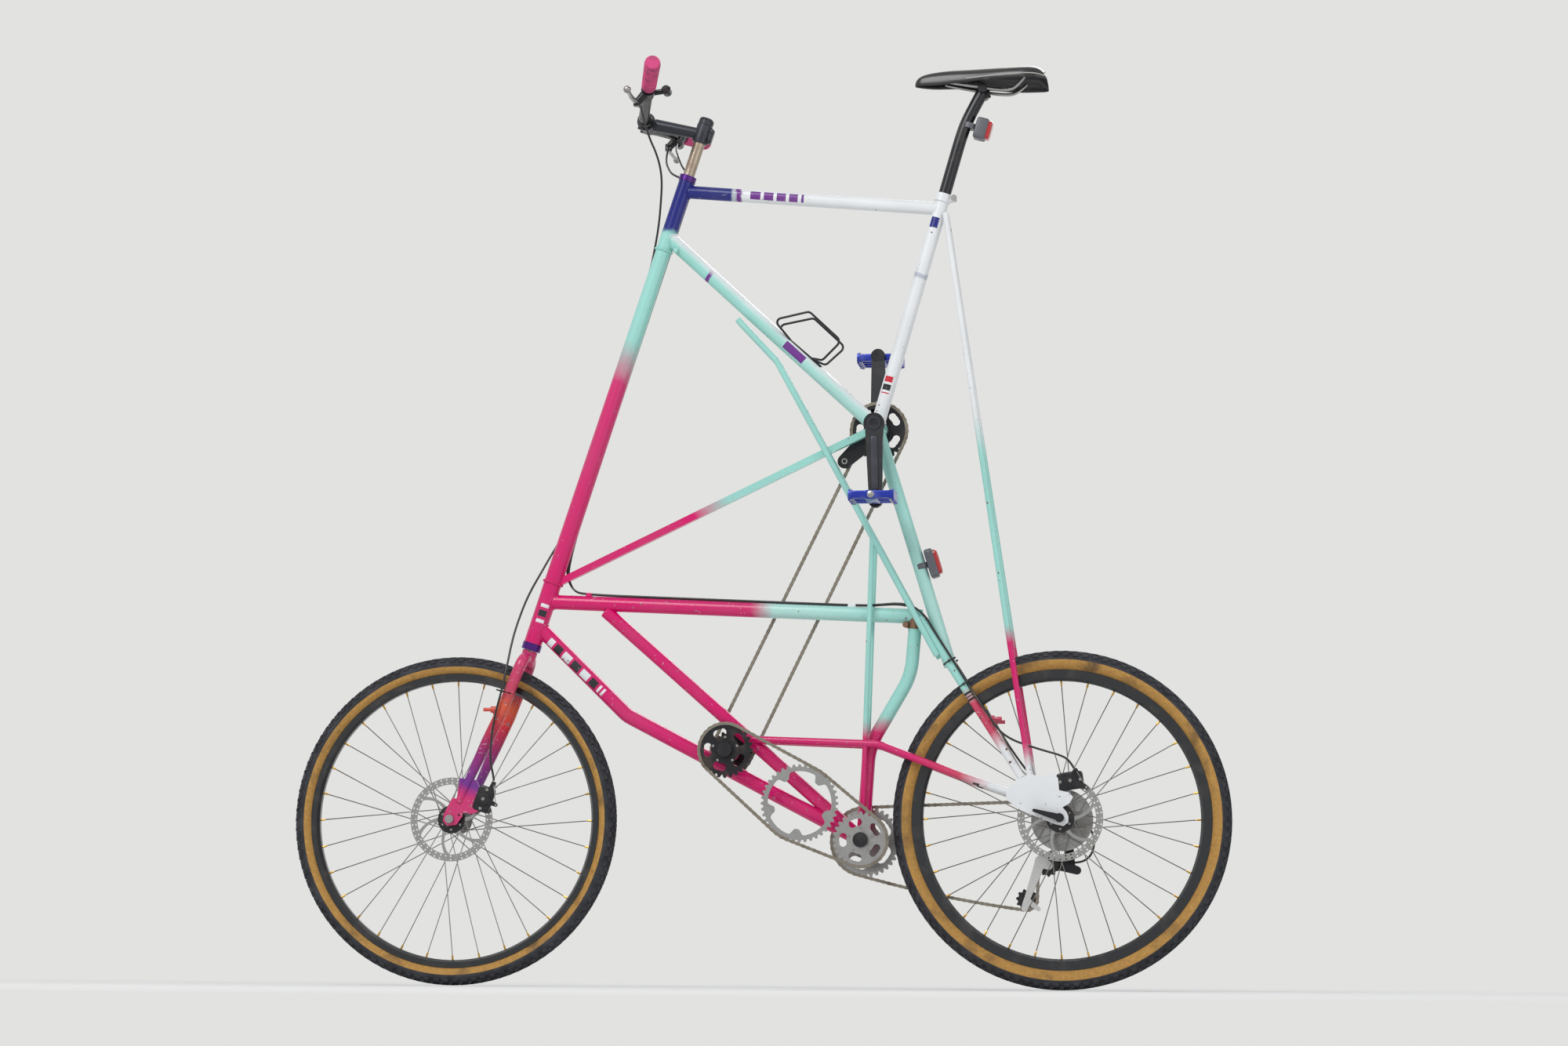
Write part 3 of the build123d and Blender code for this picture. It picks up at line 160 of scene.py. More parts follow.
class Graph:
    """A material's node tree with short calls for the nodes that recur."""

    def __init__(self, name: str, roughness: float, metallic: float = 0.0, coat: float = 0.0):
        """Starts a material with one shader.

        Args:
            name: Name of the material.
            roughness: Roughness of the shader.
            metallic: 1 for bare metal.
            coat: Weight of the clear coat.
        """
        self.material = bpy.data.materials.new(name)
        self.material.use_nodes = True
        self.tree = self.material.node_tree
        self.tree.nodes.clear()
        self.shader = self.add("ShaderNodeBsdfPrincipled")
        output = self.add("ShaderNodeOutputMaterial")
        self.tree.links.new(self.shader.outputs["BSDF"], output.inputs["Surface"])
        self.shader.inputs["Roughness"].default_value = roughness
        self.shader.inputs["Metallic"].default_value = metallic
        self.shader.inputs["Coat Weight"].default_value = coat
        self.shader.inputs["Coat Roughness"].default_value = 0.08
        self.place = self.add("ShaderNodeTexCoord").outputs["Object"]

    def add(self, kind: str) -> bpy.types.Node:
        """Adds a node of a kind and returns it."""
        return self.tree.nodes.new(kind)

    def link(self, source: bpy.types.NodeSocket, node: bpy.types.Node, socket: str | int) -> None:
        """Links a source socket to a node's input."""
        self.tree.links.new(source, node.inputs[socket])

    def math(self, kind: str, first: object, second: object = 0.0) -> bpy.types.NodeSocket:
        """Joins two values, each a socket or a number.

        Args:
            kind: Blender's name of the operation.
            first: First value.
            second: Second value.

        Returns:
            The result's socket.
        """
        node = self.add("ShaderNodeMath")
        node.operation = kind
        for index, value in enumerate((first, second)):
            if isinstance(value, (int, float)):
                node.inputs[index].default_value = value
            else:
                self.link(value, node, index)
        return node.outputs["Value"]

    def noise(self, scale: float, detail: float = 3.0,
              stretch: tuple = (1.0, 1.0, 1.0)) -> bpy.types.NodeSocket:
        """Noise of the object's own position.

        Args:
            scale: Waves in a metre.
            detail: Octaves.
            stretch: Factor of the scale along each axis.

        Returns:
            A value from 0 to 1.
        """
        source = self.place
        if stretch != (1.0, 1.0, 1.0):
            mapping = self.add("ShaderNodeMapping")
            mapping.inputs["Scale"].default_value = stretch
            self.link(self.place, mapping, "Vector")
            source = mapping.outputs["Vector"]
        node = self.add("ShaderNodeTexNoise")
        node.inputs["Scale"].default_value = scale
        node.inputs["Detail"].default_value = detail
        self.link(source, node, "Vector")
        return node.outputs["Fac"]

    def ramp(self, source: bpy.types.NodeSocket, stops: list) -> bpy.types.NodeSocket:
        """Colour ramp along a value.

        Args:
            source: The value, from 0 to 1.
            stops: Position and colour of each stop.

        Returns:
            The colour's socket.
        """
        node = self.add("ShaderNodeValToRGB")
        elements = node.color_ramp.elements
        elements.remove(elements[-1])
        elements[0].position = stops[0][0]
        elements[0].color = stops[0][1]
        for position, colour in stops[1:]:
            elements.new(position).color = colour
        self.link(source, node, "Fac")
        return node.outputs["Color"]

    def step(self, source: bpy.types.NodeSocket, low: float, high: float) -> bpy.types.NodeSocket:
        """Share that rises from 0 to 1 over a range of the source.

        Args:
            source: The value.
            low: Where the share is 0.
            high: Where it is 1.

        Returns:
            The share's socket.
        """
        node = self.add("ShaderNodeMapRange")
        node.inputs["From Min"].default_value = low
        node.inputs["From Max"].default_value = high
        self.link(source, node, "Value")
        return node.outputs["Result"]

    def along(self, start: np.ndarray, end: np.ndarray) -> bpy.types.NodeSocket:
        """Share of the way from one point to another.

        Args:
            start: Point in metres where the share is 0.
            end: Point where it is 1.

        Returns:
            The share's socket.
        """
        axis = Vector(end - start)
        shift = self.add("ShaderNodeVectorMath")
        shift.operation = "SUBTRACT"
        shift.inputs[1].default_value = Vector(start)
        self.link(self.place, shift, 0)
        dot = self.add("ShaderNodeVectorMath")
        dot.operation = "DOT_PRODUCT"
        dot.inputs[1].default_value = axis / axis.length_squared
        self.link(shift.outputs["Vector"], dot, 0)
        return dot.outputs["Value"]

    def radius(self, centre: tuple[float, float]) -> bpy.types.NodeSocket:
        """Distance from a wheel's axle, in metres.

        Args:
            centre: Place of the axle.

        Returns:
            The distance's socket.
        """
        flat = self.add("ShaderNodeVectorMath")
        flat.operation = "MULTIPLY"
        flat.inputs[1].default_value = (1.0, 0.0, 1.0)
        self.link(self.place, flat, 0)
        away = self.add("ShaderNodeVectorMath")
        away.operation = "DISTANCE"
        away.inputs[1].default_value = Vector(spot(*centre))
        self.link(flat.outputs["Vector"], away, 0)
        return away.outputs["Value"]

    def mix(self, share: object, first: object, second: object) -> bpy.types.NodeSocket:
        """Mixes two colours, each a socket or a plain value, by a share.

        Args:
            share: Socket or number, 0 for the first colour.
            first: First colour.
            second: Second colour.

        Returns:
            The mixed colour's socket.
        """
        node = self.add("ShaderNodeMix")
        node.data_type = "RGBA"
        for socket, value in ((0, share), (6, first), (7, second)):
            if isinstance(value, (int, float, tuple)):
                node.inputs[socket].default_value = value
            else:
                self.link(value, node, socket)
        return node.outputs[2]

    def bump(self, height: bpy.types.NodeSocket, strength: float, distance: float) -> None:
        """Bumps the surface.

        Args:
            height: Socket of the height.
            strength: Share of the bump.
            distance: Size of the bump in metres.
        """
        node = self.add("ShaderNodeBump")
        node.inputs["Strength"].default_value = strength
        node.inputs["Distance"].default_value = distance
        self.link(height, node, "Height")
        self.link(node.outputs["Normal"], self.shader, "Normal")

    def colour(self, source: bpy.types.NodeSocket) -> None:
        """Gives the shader its colour."""
        self.link(source, self.shader, "Base Color")

    def rough(self, source: bpy.types.NodeSocket, low: float, high: float) -> None:
        """Spreads the roughness between two values by a source from 0 to 1."""
        self.link(self.math("MULTIPLY_ADD", source, high - low), self.shader, "Roughness")
        self.shader.inputs["Roughness"].links[0].from_node.inputs[2].default_value = low


class Wear(Enum):
    """How worn a coat of paint is: share of chipped spots, and of scratches."""

    FRESH = (0.735, 0.80)
    USED = (0.700, 0.745)
    WORN = (0.655, 0.690)


@dataclass(frozen=True)
class SprayPaint:
    """Glossy paint sprayed in bands along a tube, with soft borders, chips and scratches, and a painted
    highlight along its upper side where one is given.

    Attributes:
        name: Name of the finish.
        start: Place, as x and height, where the bands start.
        end: Place where they end.
        bands: Share of the way and tint of each stop.
        wear: How worn the coat is.
        upper: Tint of a painted highlight along its upper side, a lit streak put into the colour and not
            sprayed paint.
        marks: First share, last share and tint of each plain bar on its side.
    """

    name: str
    start: tuple[float, float]
    end: tuple[float, float]
    bands: tuple
    wear: Wear = Wear.USED
    upper: Tint | None = None
    marks: tuple = ()

    def make(self) -> bpy.types.Material:
        """Builds the material and returns it."""
        graph = Graph(self.name, roughness=0.34, coat=0.25)
        graph.shader.inputs["Specular IOR Level"].default_value = 0.3
        drift = graph.math("MULTIPLY", graph.math("SUBTRACT", graph.noise(38.0, 4.0), 0.5), 0.035)
        share = graph.math("ADD", graph.along(spot(*self.start), spot(*self.end)), drift)
        coat = graph.ramp(share, [(position, tint.value) for position, tint in self.bands])
        start, end = spot(*self.start), spot(*self.end)
        along = unit(end - start)
        rise = np.array((-along[2], 0.0, along[0])) * math.copysign(0.02, along[0])
        height = graph.along(start - rise, start + rise)
        # Painted highlight: the upper side of the tube blends to a pale tint, a lit streak painted into the
        # colour instead of coming from the lamps.
        if self.upper:
            ragged = graph.math("ADD", height, graph.math("MULTIPLY", drift, 3.0))
            coat = graph.mix(graph.step(ragged, 0.52, 0.86), coat, self.upper.value)
        plain = graph.along(start, end)
        for low, high, tint in self.marks:
            within = graph.math("MULTIPLY", graph.step(plain, low, low + 0.0006),
                                graph.step(plain, high + 0.0006, high))
            beside = graph.math("MULTIPLY", graph.step(height, 0.28, 0.30), graph.step(height, 0.74, 0.72))
            coat = graph.mix(graph.math("MULTIPLY", within, beside), coat, tint.value)
        cloud = graph.step(graph.noise(9.0, 2.0), 0.35, 0.65)
        coat = graph.mix(graph.math("MULTIPLY", cloud, 0.10), coat, srgb(120, 128, 134))
        chip_limit, scratch_limit = self.wear.value
        grain = graph.noise(120.0, 5.0)
        edge = graph.step(grain, chip_limit - 0.02, chip_limit - 0.005)
        coat = graph.mix(graph.math("MULTIPLY", edge, 0.55), coat, Tint.WHITE.value)
        chips = graph.step(grain, chip_limit, chip_limit + 0.01)
        bare = graph.mix(graph.noise(300.0), Tint.RUST.value, srgb(52, 46, 44))
        coat = graph.mix(chips, coat, bare)
        scuffs = graph.step(graph.noise(70.0, 4.0, (0.35, 1.0, 3.2)), scratch_limit, scratch_limit + 0.02)
        coat = graph.mix(graph.math("MULTIPLY", scuffs, 0.7), coat, srgb(226, 222, 216))
        graph.colour(coat)
        graph.rough(graph.math("MAXIMUM", chips, scuffs), 0.26, 0.62)
        height = graph.math("SUBTRACT", graph.math("MULTIPLY", graph.noise(120.0, 2.0), 0.12), chips)
        graph.bump(height, 0.12, 0.0002)
        return graph.material


@dataclass(frozen=True)
class Surface:
    """Surface of one colour with grime, fine grain and changes of gloss.

    Attributes:
        name: Name of the finish.
        tint: Its linear colour.
        roughness: Its lowest roughness.
        metallic: 1 for bare metal.
        coat: Weight of its clear coat.
        grain: Waves of the grain in a metre.
        dirt: Colour of the grime.
        dirty: Share of the grime where it is thickest.
    """

    name: str
    tint: tuple
    roughness: float
    metallic: float = 0.0
    coat: float = 0.0
    grain: float = 240.0
    dirt: tuple = Tint.RUST.value
    dirty: float = 0.25

    def make(self) -> bpy.types.Material:
        """Builds the material and returns it."""
        graph = Graph(self.name, self.roughness, self.metallic, self.coat)
        shade = (*(0.78 * value for value in self.tint[:3]), 1.0)
        base = graph.mix(graph.noise(self.grain), shade, self.tint)
        grime = graph.step(graph.noise(26.0, 5.0), 0.52, 0.74)
        graph.colour(graph.mix(graph.math("MULTIPLY", grime, self.dirty), base, self.dirt))
        graph.rough(grime, self.roughness, min(1.0, self.roughness + 0.25))
        graph.bump(graph.noise(3.0 * self.grain, 2.0), 0.12, 0.0002)
        return graph.material


# Shapes as whole arrays


@dataclass
class Shape:
    """Vertices in metres and faces of a mesh that is being put together."""

    vertices: np.ndarray
    faces: list

    def __add__(self, other: "Shape") -> "Shape":
        """Both shapes in one."""
        shift = len(self.vertices)
        moved = [[index + shift for index in face] for face in other.faces]
        return Shape(np.vstack((self.vertices, other.vertices)), self.faces + moved)

    def copies(self, origins: np.ndarray, first: np.ndarray, second: np.ndarray,
               third: np.ndarray) -> "Shape":
        """Copies of the shape in a row of frames.

        Each vertex is its origin plus x, y and z along the three axes.

        Args:
            origins: Origin of each frame, one row each.
            first: Direction of x in each frame.
            second: Direction of y in each frame.
            third: Direction of z in each frame.

        Returns:
            All the copies in one shape.
        """
        axes = np.stack((first, second, third), axis=1)
        placed = origins[:, None, :] + np.einsum("vk,nkj->nvj", self.vertices, axes)
        count = len(self.vertices)
        faces = []
        for size in sorted({len(face) for face in self.faces}):
            same = np.array([face for face in self.faces if len(face) == size])
            shifts = np.arange(len(origins))[:, None, None] * count
            faces.extend((same[None] + shifts).reshape(-1, size).tolist())
        return Shape(placed.reshape(-1, 3), faces)

    def piece(self, name: str, material: bpy.types.Material, body: str,
              sharp: float = 38.0) -> bpy.types.Object:
        """Makes the object, closes its seams, turns its faces outwards and lets it ride on a body.

        Args:
            name: Name of the object.
            material: Its finish.
            body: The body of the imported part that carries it.
            sharp: Angle in degrees above which an edge stays sharp.

        Returns:
            The object.
        """
        mesh = bpy.data.meshes.new(name)
        mesh.from_pydata(self.vertices.tolist(), [], self.faces)
        work = bmesh.new()
        work.from_mesh(mesh)
        bmesh.ops.remove_doubles(work, verts=work.verts, dist=1e-6)
        bmesh.ops.recalc_face_normals(work, faces=work.faces)
        work.to_mesh(mesh)
        work.free()
        mesh.shade_smooth()
        mesh.set_sharp_from_angle(angle=math.radians(sharp))
        mesh.materials.append(material)
        thing = bpy.data.objects.new(name, mesh)
        bpy.context.scene.collection.objects.link(thing)
        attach(thing, body)
        LOG.info("%s: %d faces on %s", name, len(mesh.polygons), body)
        return thing


def grid(points: np.ndarray, close_rows: bool, close_columns: bool) -> Shape:
    """Surface through a grid of points, with a quad between each four neighbours.

    Args:
        points: Rows by columns by three coordinates.
        close_rows: Whether the last row joins the first.
        close_columns: Whether the last column joins the first.

    Returns:
        The surface.
    """
    rows, columns = points.shape[:2]
    row = np.arange(rows if close_rows else rows - 1)
    side = np.arange(columns if close_columns else columns - 1)
    first, second = (index.ravel() for index in np.meshgrid(row, side, indexing="ij"))
    row_after, side_after = (first + 1) % rows, (second + 1) % columns
    corners = (
        first * columns + second, row_after * columns + second,
        row_after * columns + side_after, first * columns + side_after,
    )
    return Shape(points.reshape(-1, 3), np.stack(corners, axis=1).tolist())


def unit(vectors: np.ndarray) -> np.ndarray:
    """Vectors scaled to length 1."""
    return vectors / np.linalg.norm(vectors, axis=-1, keepdims=True)


def tube(path: np.ndarray, radius: object, sides: int = 10, closed: bool = False) -> Shape:
    """Round tube along a nearly flat path: each point plus radius times a circle square to the path.

    The circle's axes are the path's flat normal made square to its direction,
    and the cross product of the two.

    Args:
        path: Points of the middle line, one row each.
        radius: One radius, or one for each point.
        sides: Corners of the circle.
        closed: Whether the path is a loop.

    Returns:
        The tube, with flat ends if it is open.
    """
    if closed:
        direction = unit(np.roll(path, -1, axis=0) - np.roll(path, 1, axis=0))
    else:
        direction = unit(np.gradient(path, axis=0))
    normal = np.linalg.svd(path - path.mean(axis=0))[2][-1]
    across = unit(np.cross(direction, normal))
    upright = np.cross(across, direction)
    angle = np.linspace(0.0, 2 * math.pi, sides, endpoint=False)
    reach = np.broadcast_to(np.asarray(radius, dtype=float), (len(path),))[:, None, None]
    ring = across[:, None] * np.cos(angle)[None, :, None] + upright[:, None] * np.sin(angle)[None, :, None]
    shape = grid(path[:, None] + reach * ring, closed, True)
    if not closed:
        last = (len(path) - 1) * sides
        shape.faces.append(list(range(sides)))
        shape.faces.append([last + index for index in range(sides)])
    return shape


def turned(profile: np.ndarray, centre: tuple[float, float], count: int) -> Shape:
    """Ring round a wheel's axle: y stays, and the radius goes round as cosine along X and sine upwards.

    Args:
        profile: Closed outline as rows of y and radius, in millimetres.
        centre: Place of the axle.
        count: Steps round the ring.

    Returns:
        The ring.
    """
    angle = np.linspace(0.0, 2 * math.pi, count, endpoint=False)[:, None]
    y, radius = profile[None, :, 0], profile[None, :, 1]
    points = np.stack((radius * np.cos(angle), y + 0.0 * angle, radius * np.sin(angle)), axis=-1) * MM
    return grid(points + spot(*centre), True, True)


def lathe(profile: list, sides: int = 12) -> Shape:
    """Small turned body about its own z axis, in metres.

    Args:
        profile: Rows of r and z, in millimetres, with a pole at each end.
        sides: Corners of its section.

    Returns:
        The body.
    """
    radius, height = np.array(profile).T * MM
    angle = np.linspace(0.0, 2 * math.pi, sides, endpoint=False)[None, :]
    points = np.stack((
        radius[:, None] * np.cos(angle), radius[:, None] * np.sin(angle), height[:, None] + 0.0 * angle,
    ), axis=-1)
    return grid(points, False, True)


def block(length: float, width: float, height: float, taper: float) -> Shape:
    """Block on its base whose top is smaller than its foot.

    Args:
        length: Its size along x, in millimetres.
        width: Its size along y.
        height: Its size along z.
        taper: How much each side of its top stands back.

    Returns:
        The block.
    """
    half = np.array(((-1, -1), (1, -1), (1, 1), (-1, 1))) * 0.5
    low = half * (length, width)
    high = half * (length - 2 * taper, width - 2 * taper)
    corners = np.vstack((np.c_[low, np.zeros(4)], np.c_[high, np.full(4, height)])) * MM
    faces = [[3, 2, 1, 0], [4, 5, 6, 7], [0, 1, 5, 4], [1, 2, 6, 5], [2, 3, 7, 6], [3, 0, 4, 7]]
    return Shape(corners, faces)


def wheel_frames(centre: tuple[float, float], angle: np.ndarray, radius: float, y: object) -> tuple:
    """Origin, direction round the wheel, direction along the axle and direction outwards, at some angles.

    Args:
        centre: Place of the axle.
        angle: Angles in radians, from the rear and upwards.
        radius: Distance from the axle in millimetres.
        y: One distance along the axle, or one for each angle, in millimetres.

    Returns:
        The four arrays, one row for each angle.
    """
    zero = np.zeros_like(angle)
    outwards = np.stack((np.cos(angle), zero, np.sin(angle)), axis=-1)
    onwards = np.stack((-np.sin(angle), zero, np.cos(angle)), axis=-1)
    aside = np.broadcast_to(np.array((0.0, 1.0, 0.0)), outwards.shape)
    shift = np.broadcast_to(np.asarray(y, dtype=float), angle.shape)[:, None] * aside
    return spot(*centre) + (outwards * radius + shift) * MM, onwards, aside, outwards


def rod(start: np.ndarray, end: np.ndarray, radius: float, end_radius: float = 0.0,
        sides: int = 20) -> Shape:
    """Round bar with small bevels at its ends, or a cone where the second radius is given.

    Args:
        start: Middle of one end, in metres.
        end: Middle of the other end.
        radius: Radius at the start, in millimetres.
        end_radius: Radius at the end, or 0 for the same.
        sides: Corners of its section.

    Returns:
        The bar.
    """
    length = np.linalg.norm(end - start)
    bevel = min(0.0008, 0.2 * length) / length
    last = end_radius or radius
    shares = np.array((0.0, bevel, 0.5, 1.0 - bevel, 1.0))
    sizes = (radius + shares * (last - radius)) * MM
    sizes[[0, -1]] -= min(0.0008, 0.2 * radius * MM)
    direction = (end - start) / length
    normal = np.cross(direction, np.array((0.31, 0.87, 0.38)))
    across = unit(normal)
    upright = np.cross(direction, across)
    angle = np.linspace(0.0, 2 * math.pi, sides, endpoint=False)
    ring = across * np.cos(angle)[:, None] + upright * np.sin(angle)[:, None]
    points = (start + shares[:, None] * (end - start))[:, None] + sizes[:, None, None] * ring
    shape = grid(points, False, True)
    shape.faces.append(list(range(sides)))
    shape.faces.append([4 * sides + index for index in range(sides)])
    return shape


def disc(place: tuple[float, float], y_low: float, y_high: float, radius: float, sides: int = 28) -> Shape:
    """Round plate or shaft that lies along Y, in millimetres."""
    return rod(spot(*place, y_low), spot(*place, y_high), radius, sides=sides)


def plate(outline: list, y_low: float, y_high: float) -> Shape:
    """Flat plate with a quad under each edge of its outline.

    Args:
        outline: Its corners, as places.
        y_low: Y of its one side, in millimetres.
        y_high: Y of its other side.

    Returns:
        The plate.
    """
    low = np.array([spot(x, height, y_low) for x, height in outline])
    high = low + np.array((0.0, (y_high - y_low) * MM, 0.0))
    count = len(outline)
    shape = grid(np.stack((low, high)), False, True)
    shape.faces.append(list(range(count)))
    shape.faces.append([count + index for index in range(count)])
    return shape


def link_outline(first: tuple, second: tuple, first_r: float, second_r: float) -> list:
    """Outline of a flat link: two round ends and their straight tangents.

    Args:
        first: Place of one end.
        second: Place of the other end.
        first_r: Radius of the first end.
        second_r: Radius of the second end.

    Returns:
        Places round the link.
    """
    heading = math.atan2(second[1] - first[1], second[0] - first[0])
    lean = math.acos((first_r - second_r) / math.dist(first, second))
    far = heading + np.linspace(-lean, lean, 9)
    near = heading + np.linspace(lean, 2 * math.pi - lean, 11)
    ends = ((second, second_r, far), (first, first_r, near))
    return [(c[0] + r * math.cos(a), c[1] + r * math.sin(a)) for c, r, angles in ends for a in angles]


def smooth(points: np.ndarray, steps: int = 10) -> np.ndarray:
    """Quadratic spline: each span is the parabola between the middles of two runs, pulled to their corner.

    Args:
        points: Corners of the path, one row each.
        steps: Points on each span.

    Returns:
        The points of the curve.
    """
    middles = 0.5 * (points[1:-2] + points[2:-1])
    starts = np.vstack((points[:1], middles))
    ends = np.vstack((middles, points[-1:]))
    share = np.linspace(0.0, 1.0, steps, endpoint=False)[None, :, None]
    spans = (
        (1 - share) ** 2 * starts[:, None] + 2 * share * (1 - share) * points[1:-1, None]
        + share ** 2 * ends[:, None]
    )
    return np.vstack((spans.reshape(-1, 3), points[-1:]))


def lump(centre: np.ndarray, axes: np.ndarray, halves: tuple, power: float = 0.35,
         steps: int = 18) -> Shape:
    """Soft-cornered body: each coordinate is half its size times sines and cosines raised to a small power.

    Args:
        centre: Its middle, in metres.
        axes: Three unit vectors as rows.
        halves: Half sizes along them, in millimetres.
        power: 1 for an ellipsoid, near 0 for a sharp block.
        steps: Steps from pole to pole.

    Returns:
        The body.
    """
    def bent(values: np.ndarray) -> np.ndarray:
        """Signed power of each value."""
        return np.sign(values) * np.abs(values) ** power

    tilt = np.linspace(-math.pi / 2, math.pi / 2, steps)[:, None]
    turn = np.linspace(-math.pi, math.pi, 2 * steps, endpoint=False)[None, :]
    flat = bent(np.cos(tilt))
    local = np.stack((flat * bent(np.cos(turn)), flat * bent(np.sin(turn)),
                      bent(np.sin(tilt)) + 0 * turn), axis=-1)
    return grid(centre + (local * np.array(halves) * MM) @ axes, False, True)


UPRIGHT = np.eye(3)


def bolts(places: list, y: float, size: float = 1.0) -> Shape:
    """Socket head bolts that face the rider's left at some places.

    Args:
        places: Their places, as x and height.
        y: Where their heads sit, in millimetres.
        size: Scale of a head of 6.8 mm.

    Returns:
        All the heads.
    """
    profile = [(0.0, 0.0), (3.4, 0.0), (3.4, 1.5), (2.6, 2.3), (1.5, 2.3), (1.4, 1.0), (0.0, 1.0)]
    head = lathe([(size * r, size * z) for r, z in profile], 10)
    origins = np.array([spot(x, height, y) for x, height in places])
    rows = np.ones((len(places), 1))
    return head.copies(origins, rows * (1.0, 0.0, 0.0), rows * (0.0, 0.0, 1.0), rows * (0.0, -1.0, 0.0))


# Sub-assemblies


@dataclass
class Tyre:
    """Knobbed tyre with tan side walls.

    Attributes:
        label: front or rear.
        centre: Place of the axle.
        outer: Radius over the knobs.
        half: Half width.
        tan_limit: Radius where the tan wall ends.
        knobs: Knobs in one row.
    """

    label: str
    centre: tuple[float, float]
    outer: float
    half: float
    tan_limit: float
    knobs: int = 104

    KNOB_RISE = 3.4
    ROWS = ((9.0, 0.0, 12.0, 7.5), (-9.0, 0.5, 12.0, 7.5), (33.0, 0.5, 10.0, 8.0), (-33.0, 0.0, 10.0, 8.0),
            (57.0, 0.0, 12.5, 7.0), (-57.0, 0.5, 12.5, 7.0))

    def wall(self, turn: np.ndarray) -> tuple[np.ndarray, np.ndarray]:
        """Section of the casing: y is its half width times the sine of the turn from the crown.

        The radius is the middle of the wall plus the cosine times half the
        depth, a little more below the middle so that it ends at the rim.

        Args:
            turn: Turns from the crown, in radians.

        Returns:
            Y and radius at each turn, in millimetres.
        """
        middle = 0.5 * (RIM_FLANGE_R + self.outer)
        above = self.outer - self.KNOB_RISE - middle
        below = (middle - RIM_FLANGE_R) / math.cos(math.radians(30.0))
        cosine = np.cos(turn)
        return 0.98 * self.half * np.sin(turn), middle + np.where(cosine > 0, above, below) * cosine

    def casing(self) -> Shape:
        """The casing with its beads between the rim's flanges."""
        turn = np.radians(np.linspace(-150.0, 150.0, 41))
        y, radius = self.wall(turn)
        foot = np.array(((12.0, RIM_FLANGE_R - 4.2), (-12.0, RIM_FLANGE_R - 4.2)))
        return turned(np.vstack((np.stack((y, radius), axis=1), foot)), self.centre, 180)

    def tread(self) -> Shape:
        """Rows of knobs, each square to the casing and staggered against its neighbours."""
        made = None
        for degrees, stagger, length, width in self.ROWS:
            angle = 2 * math.pi * (np.arange(self.knobs) + stagger) / self.knobs
            turn = math.radians(degrees)
            y, radius = self.wall(np.array(turn))
            origins, onwards, aside, outwards = wheel_frames(self.centre, angle, float(radius) - 0.8,
                                                             float(y))
            upright = math.cos(turn) * outwards + math.sin(turn) * aside
            level = math.cos(turn) * aside - math.sin(turn) * outwards
            row = block(length, width, self.KNOB_RISE + 0.6, 0.9).copies(origins, onwards, level, upright)
            made = row if made is None else made + row
        return made

    def rubber(self) -> bpy.types.Material:
        """Dusty dark rubber over the tread and tan cloth on the walls, split by the radius."""
        graph = Graph(self.label + "_tyre_rubber", roughness=0.8)
        away = graph.radius(self.centre)
        dust = graph.step(graph.noise(34.0, 5.0), 0.35, 0.75)
        dark = graph.mix(dust, srgb(34, 35, 41), srgb(62, 63, 69))
        tan = graph.mix(graph.noise(160.0, 4.0), srgb(150, 106, 50), srgb(206, 160, 84))
        tan = graph.mix(graph.step(graph.noise(18.0, 4.0), 0.55, 0.8), tan, srgb(96, 74, 50))
        limit = self.tan_limit * MM
        ragged = graph.math("ADD", away, graph.math("MULTIPLY", graph.noise(60.0), 0.0012))
        graph.colour(graph.mix(graph.step(ragged, limit - 0.0002, limit + 0.001), tan, dark))
        weave = graph.noise(900.0, 2.0)
        graph.bump(weave, 0.3, 0.0003)
        return graph.material

    def build(self) -> None:
        """Makes the tyre and hides the plain one."""
        made = (self.casing() + self.tread()).piece(
            self.label + "_knobbed_tyre", self.rubber(), self.label + "_wheel", 30.0
        )
        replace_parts(made, self.label + "_tyre")


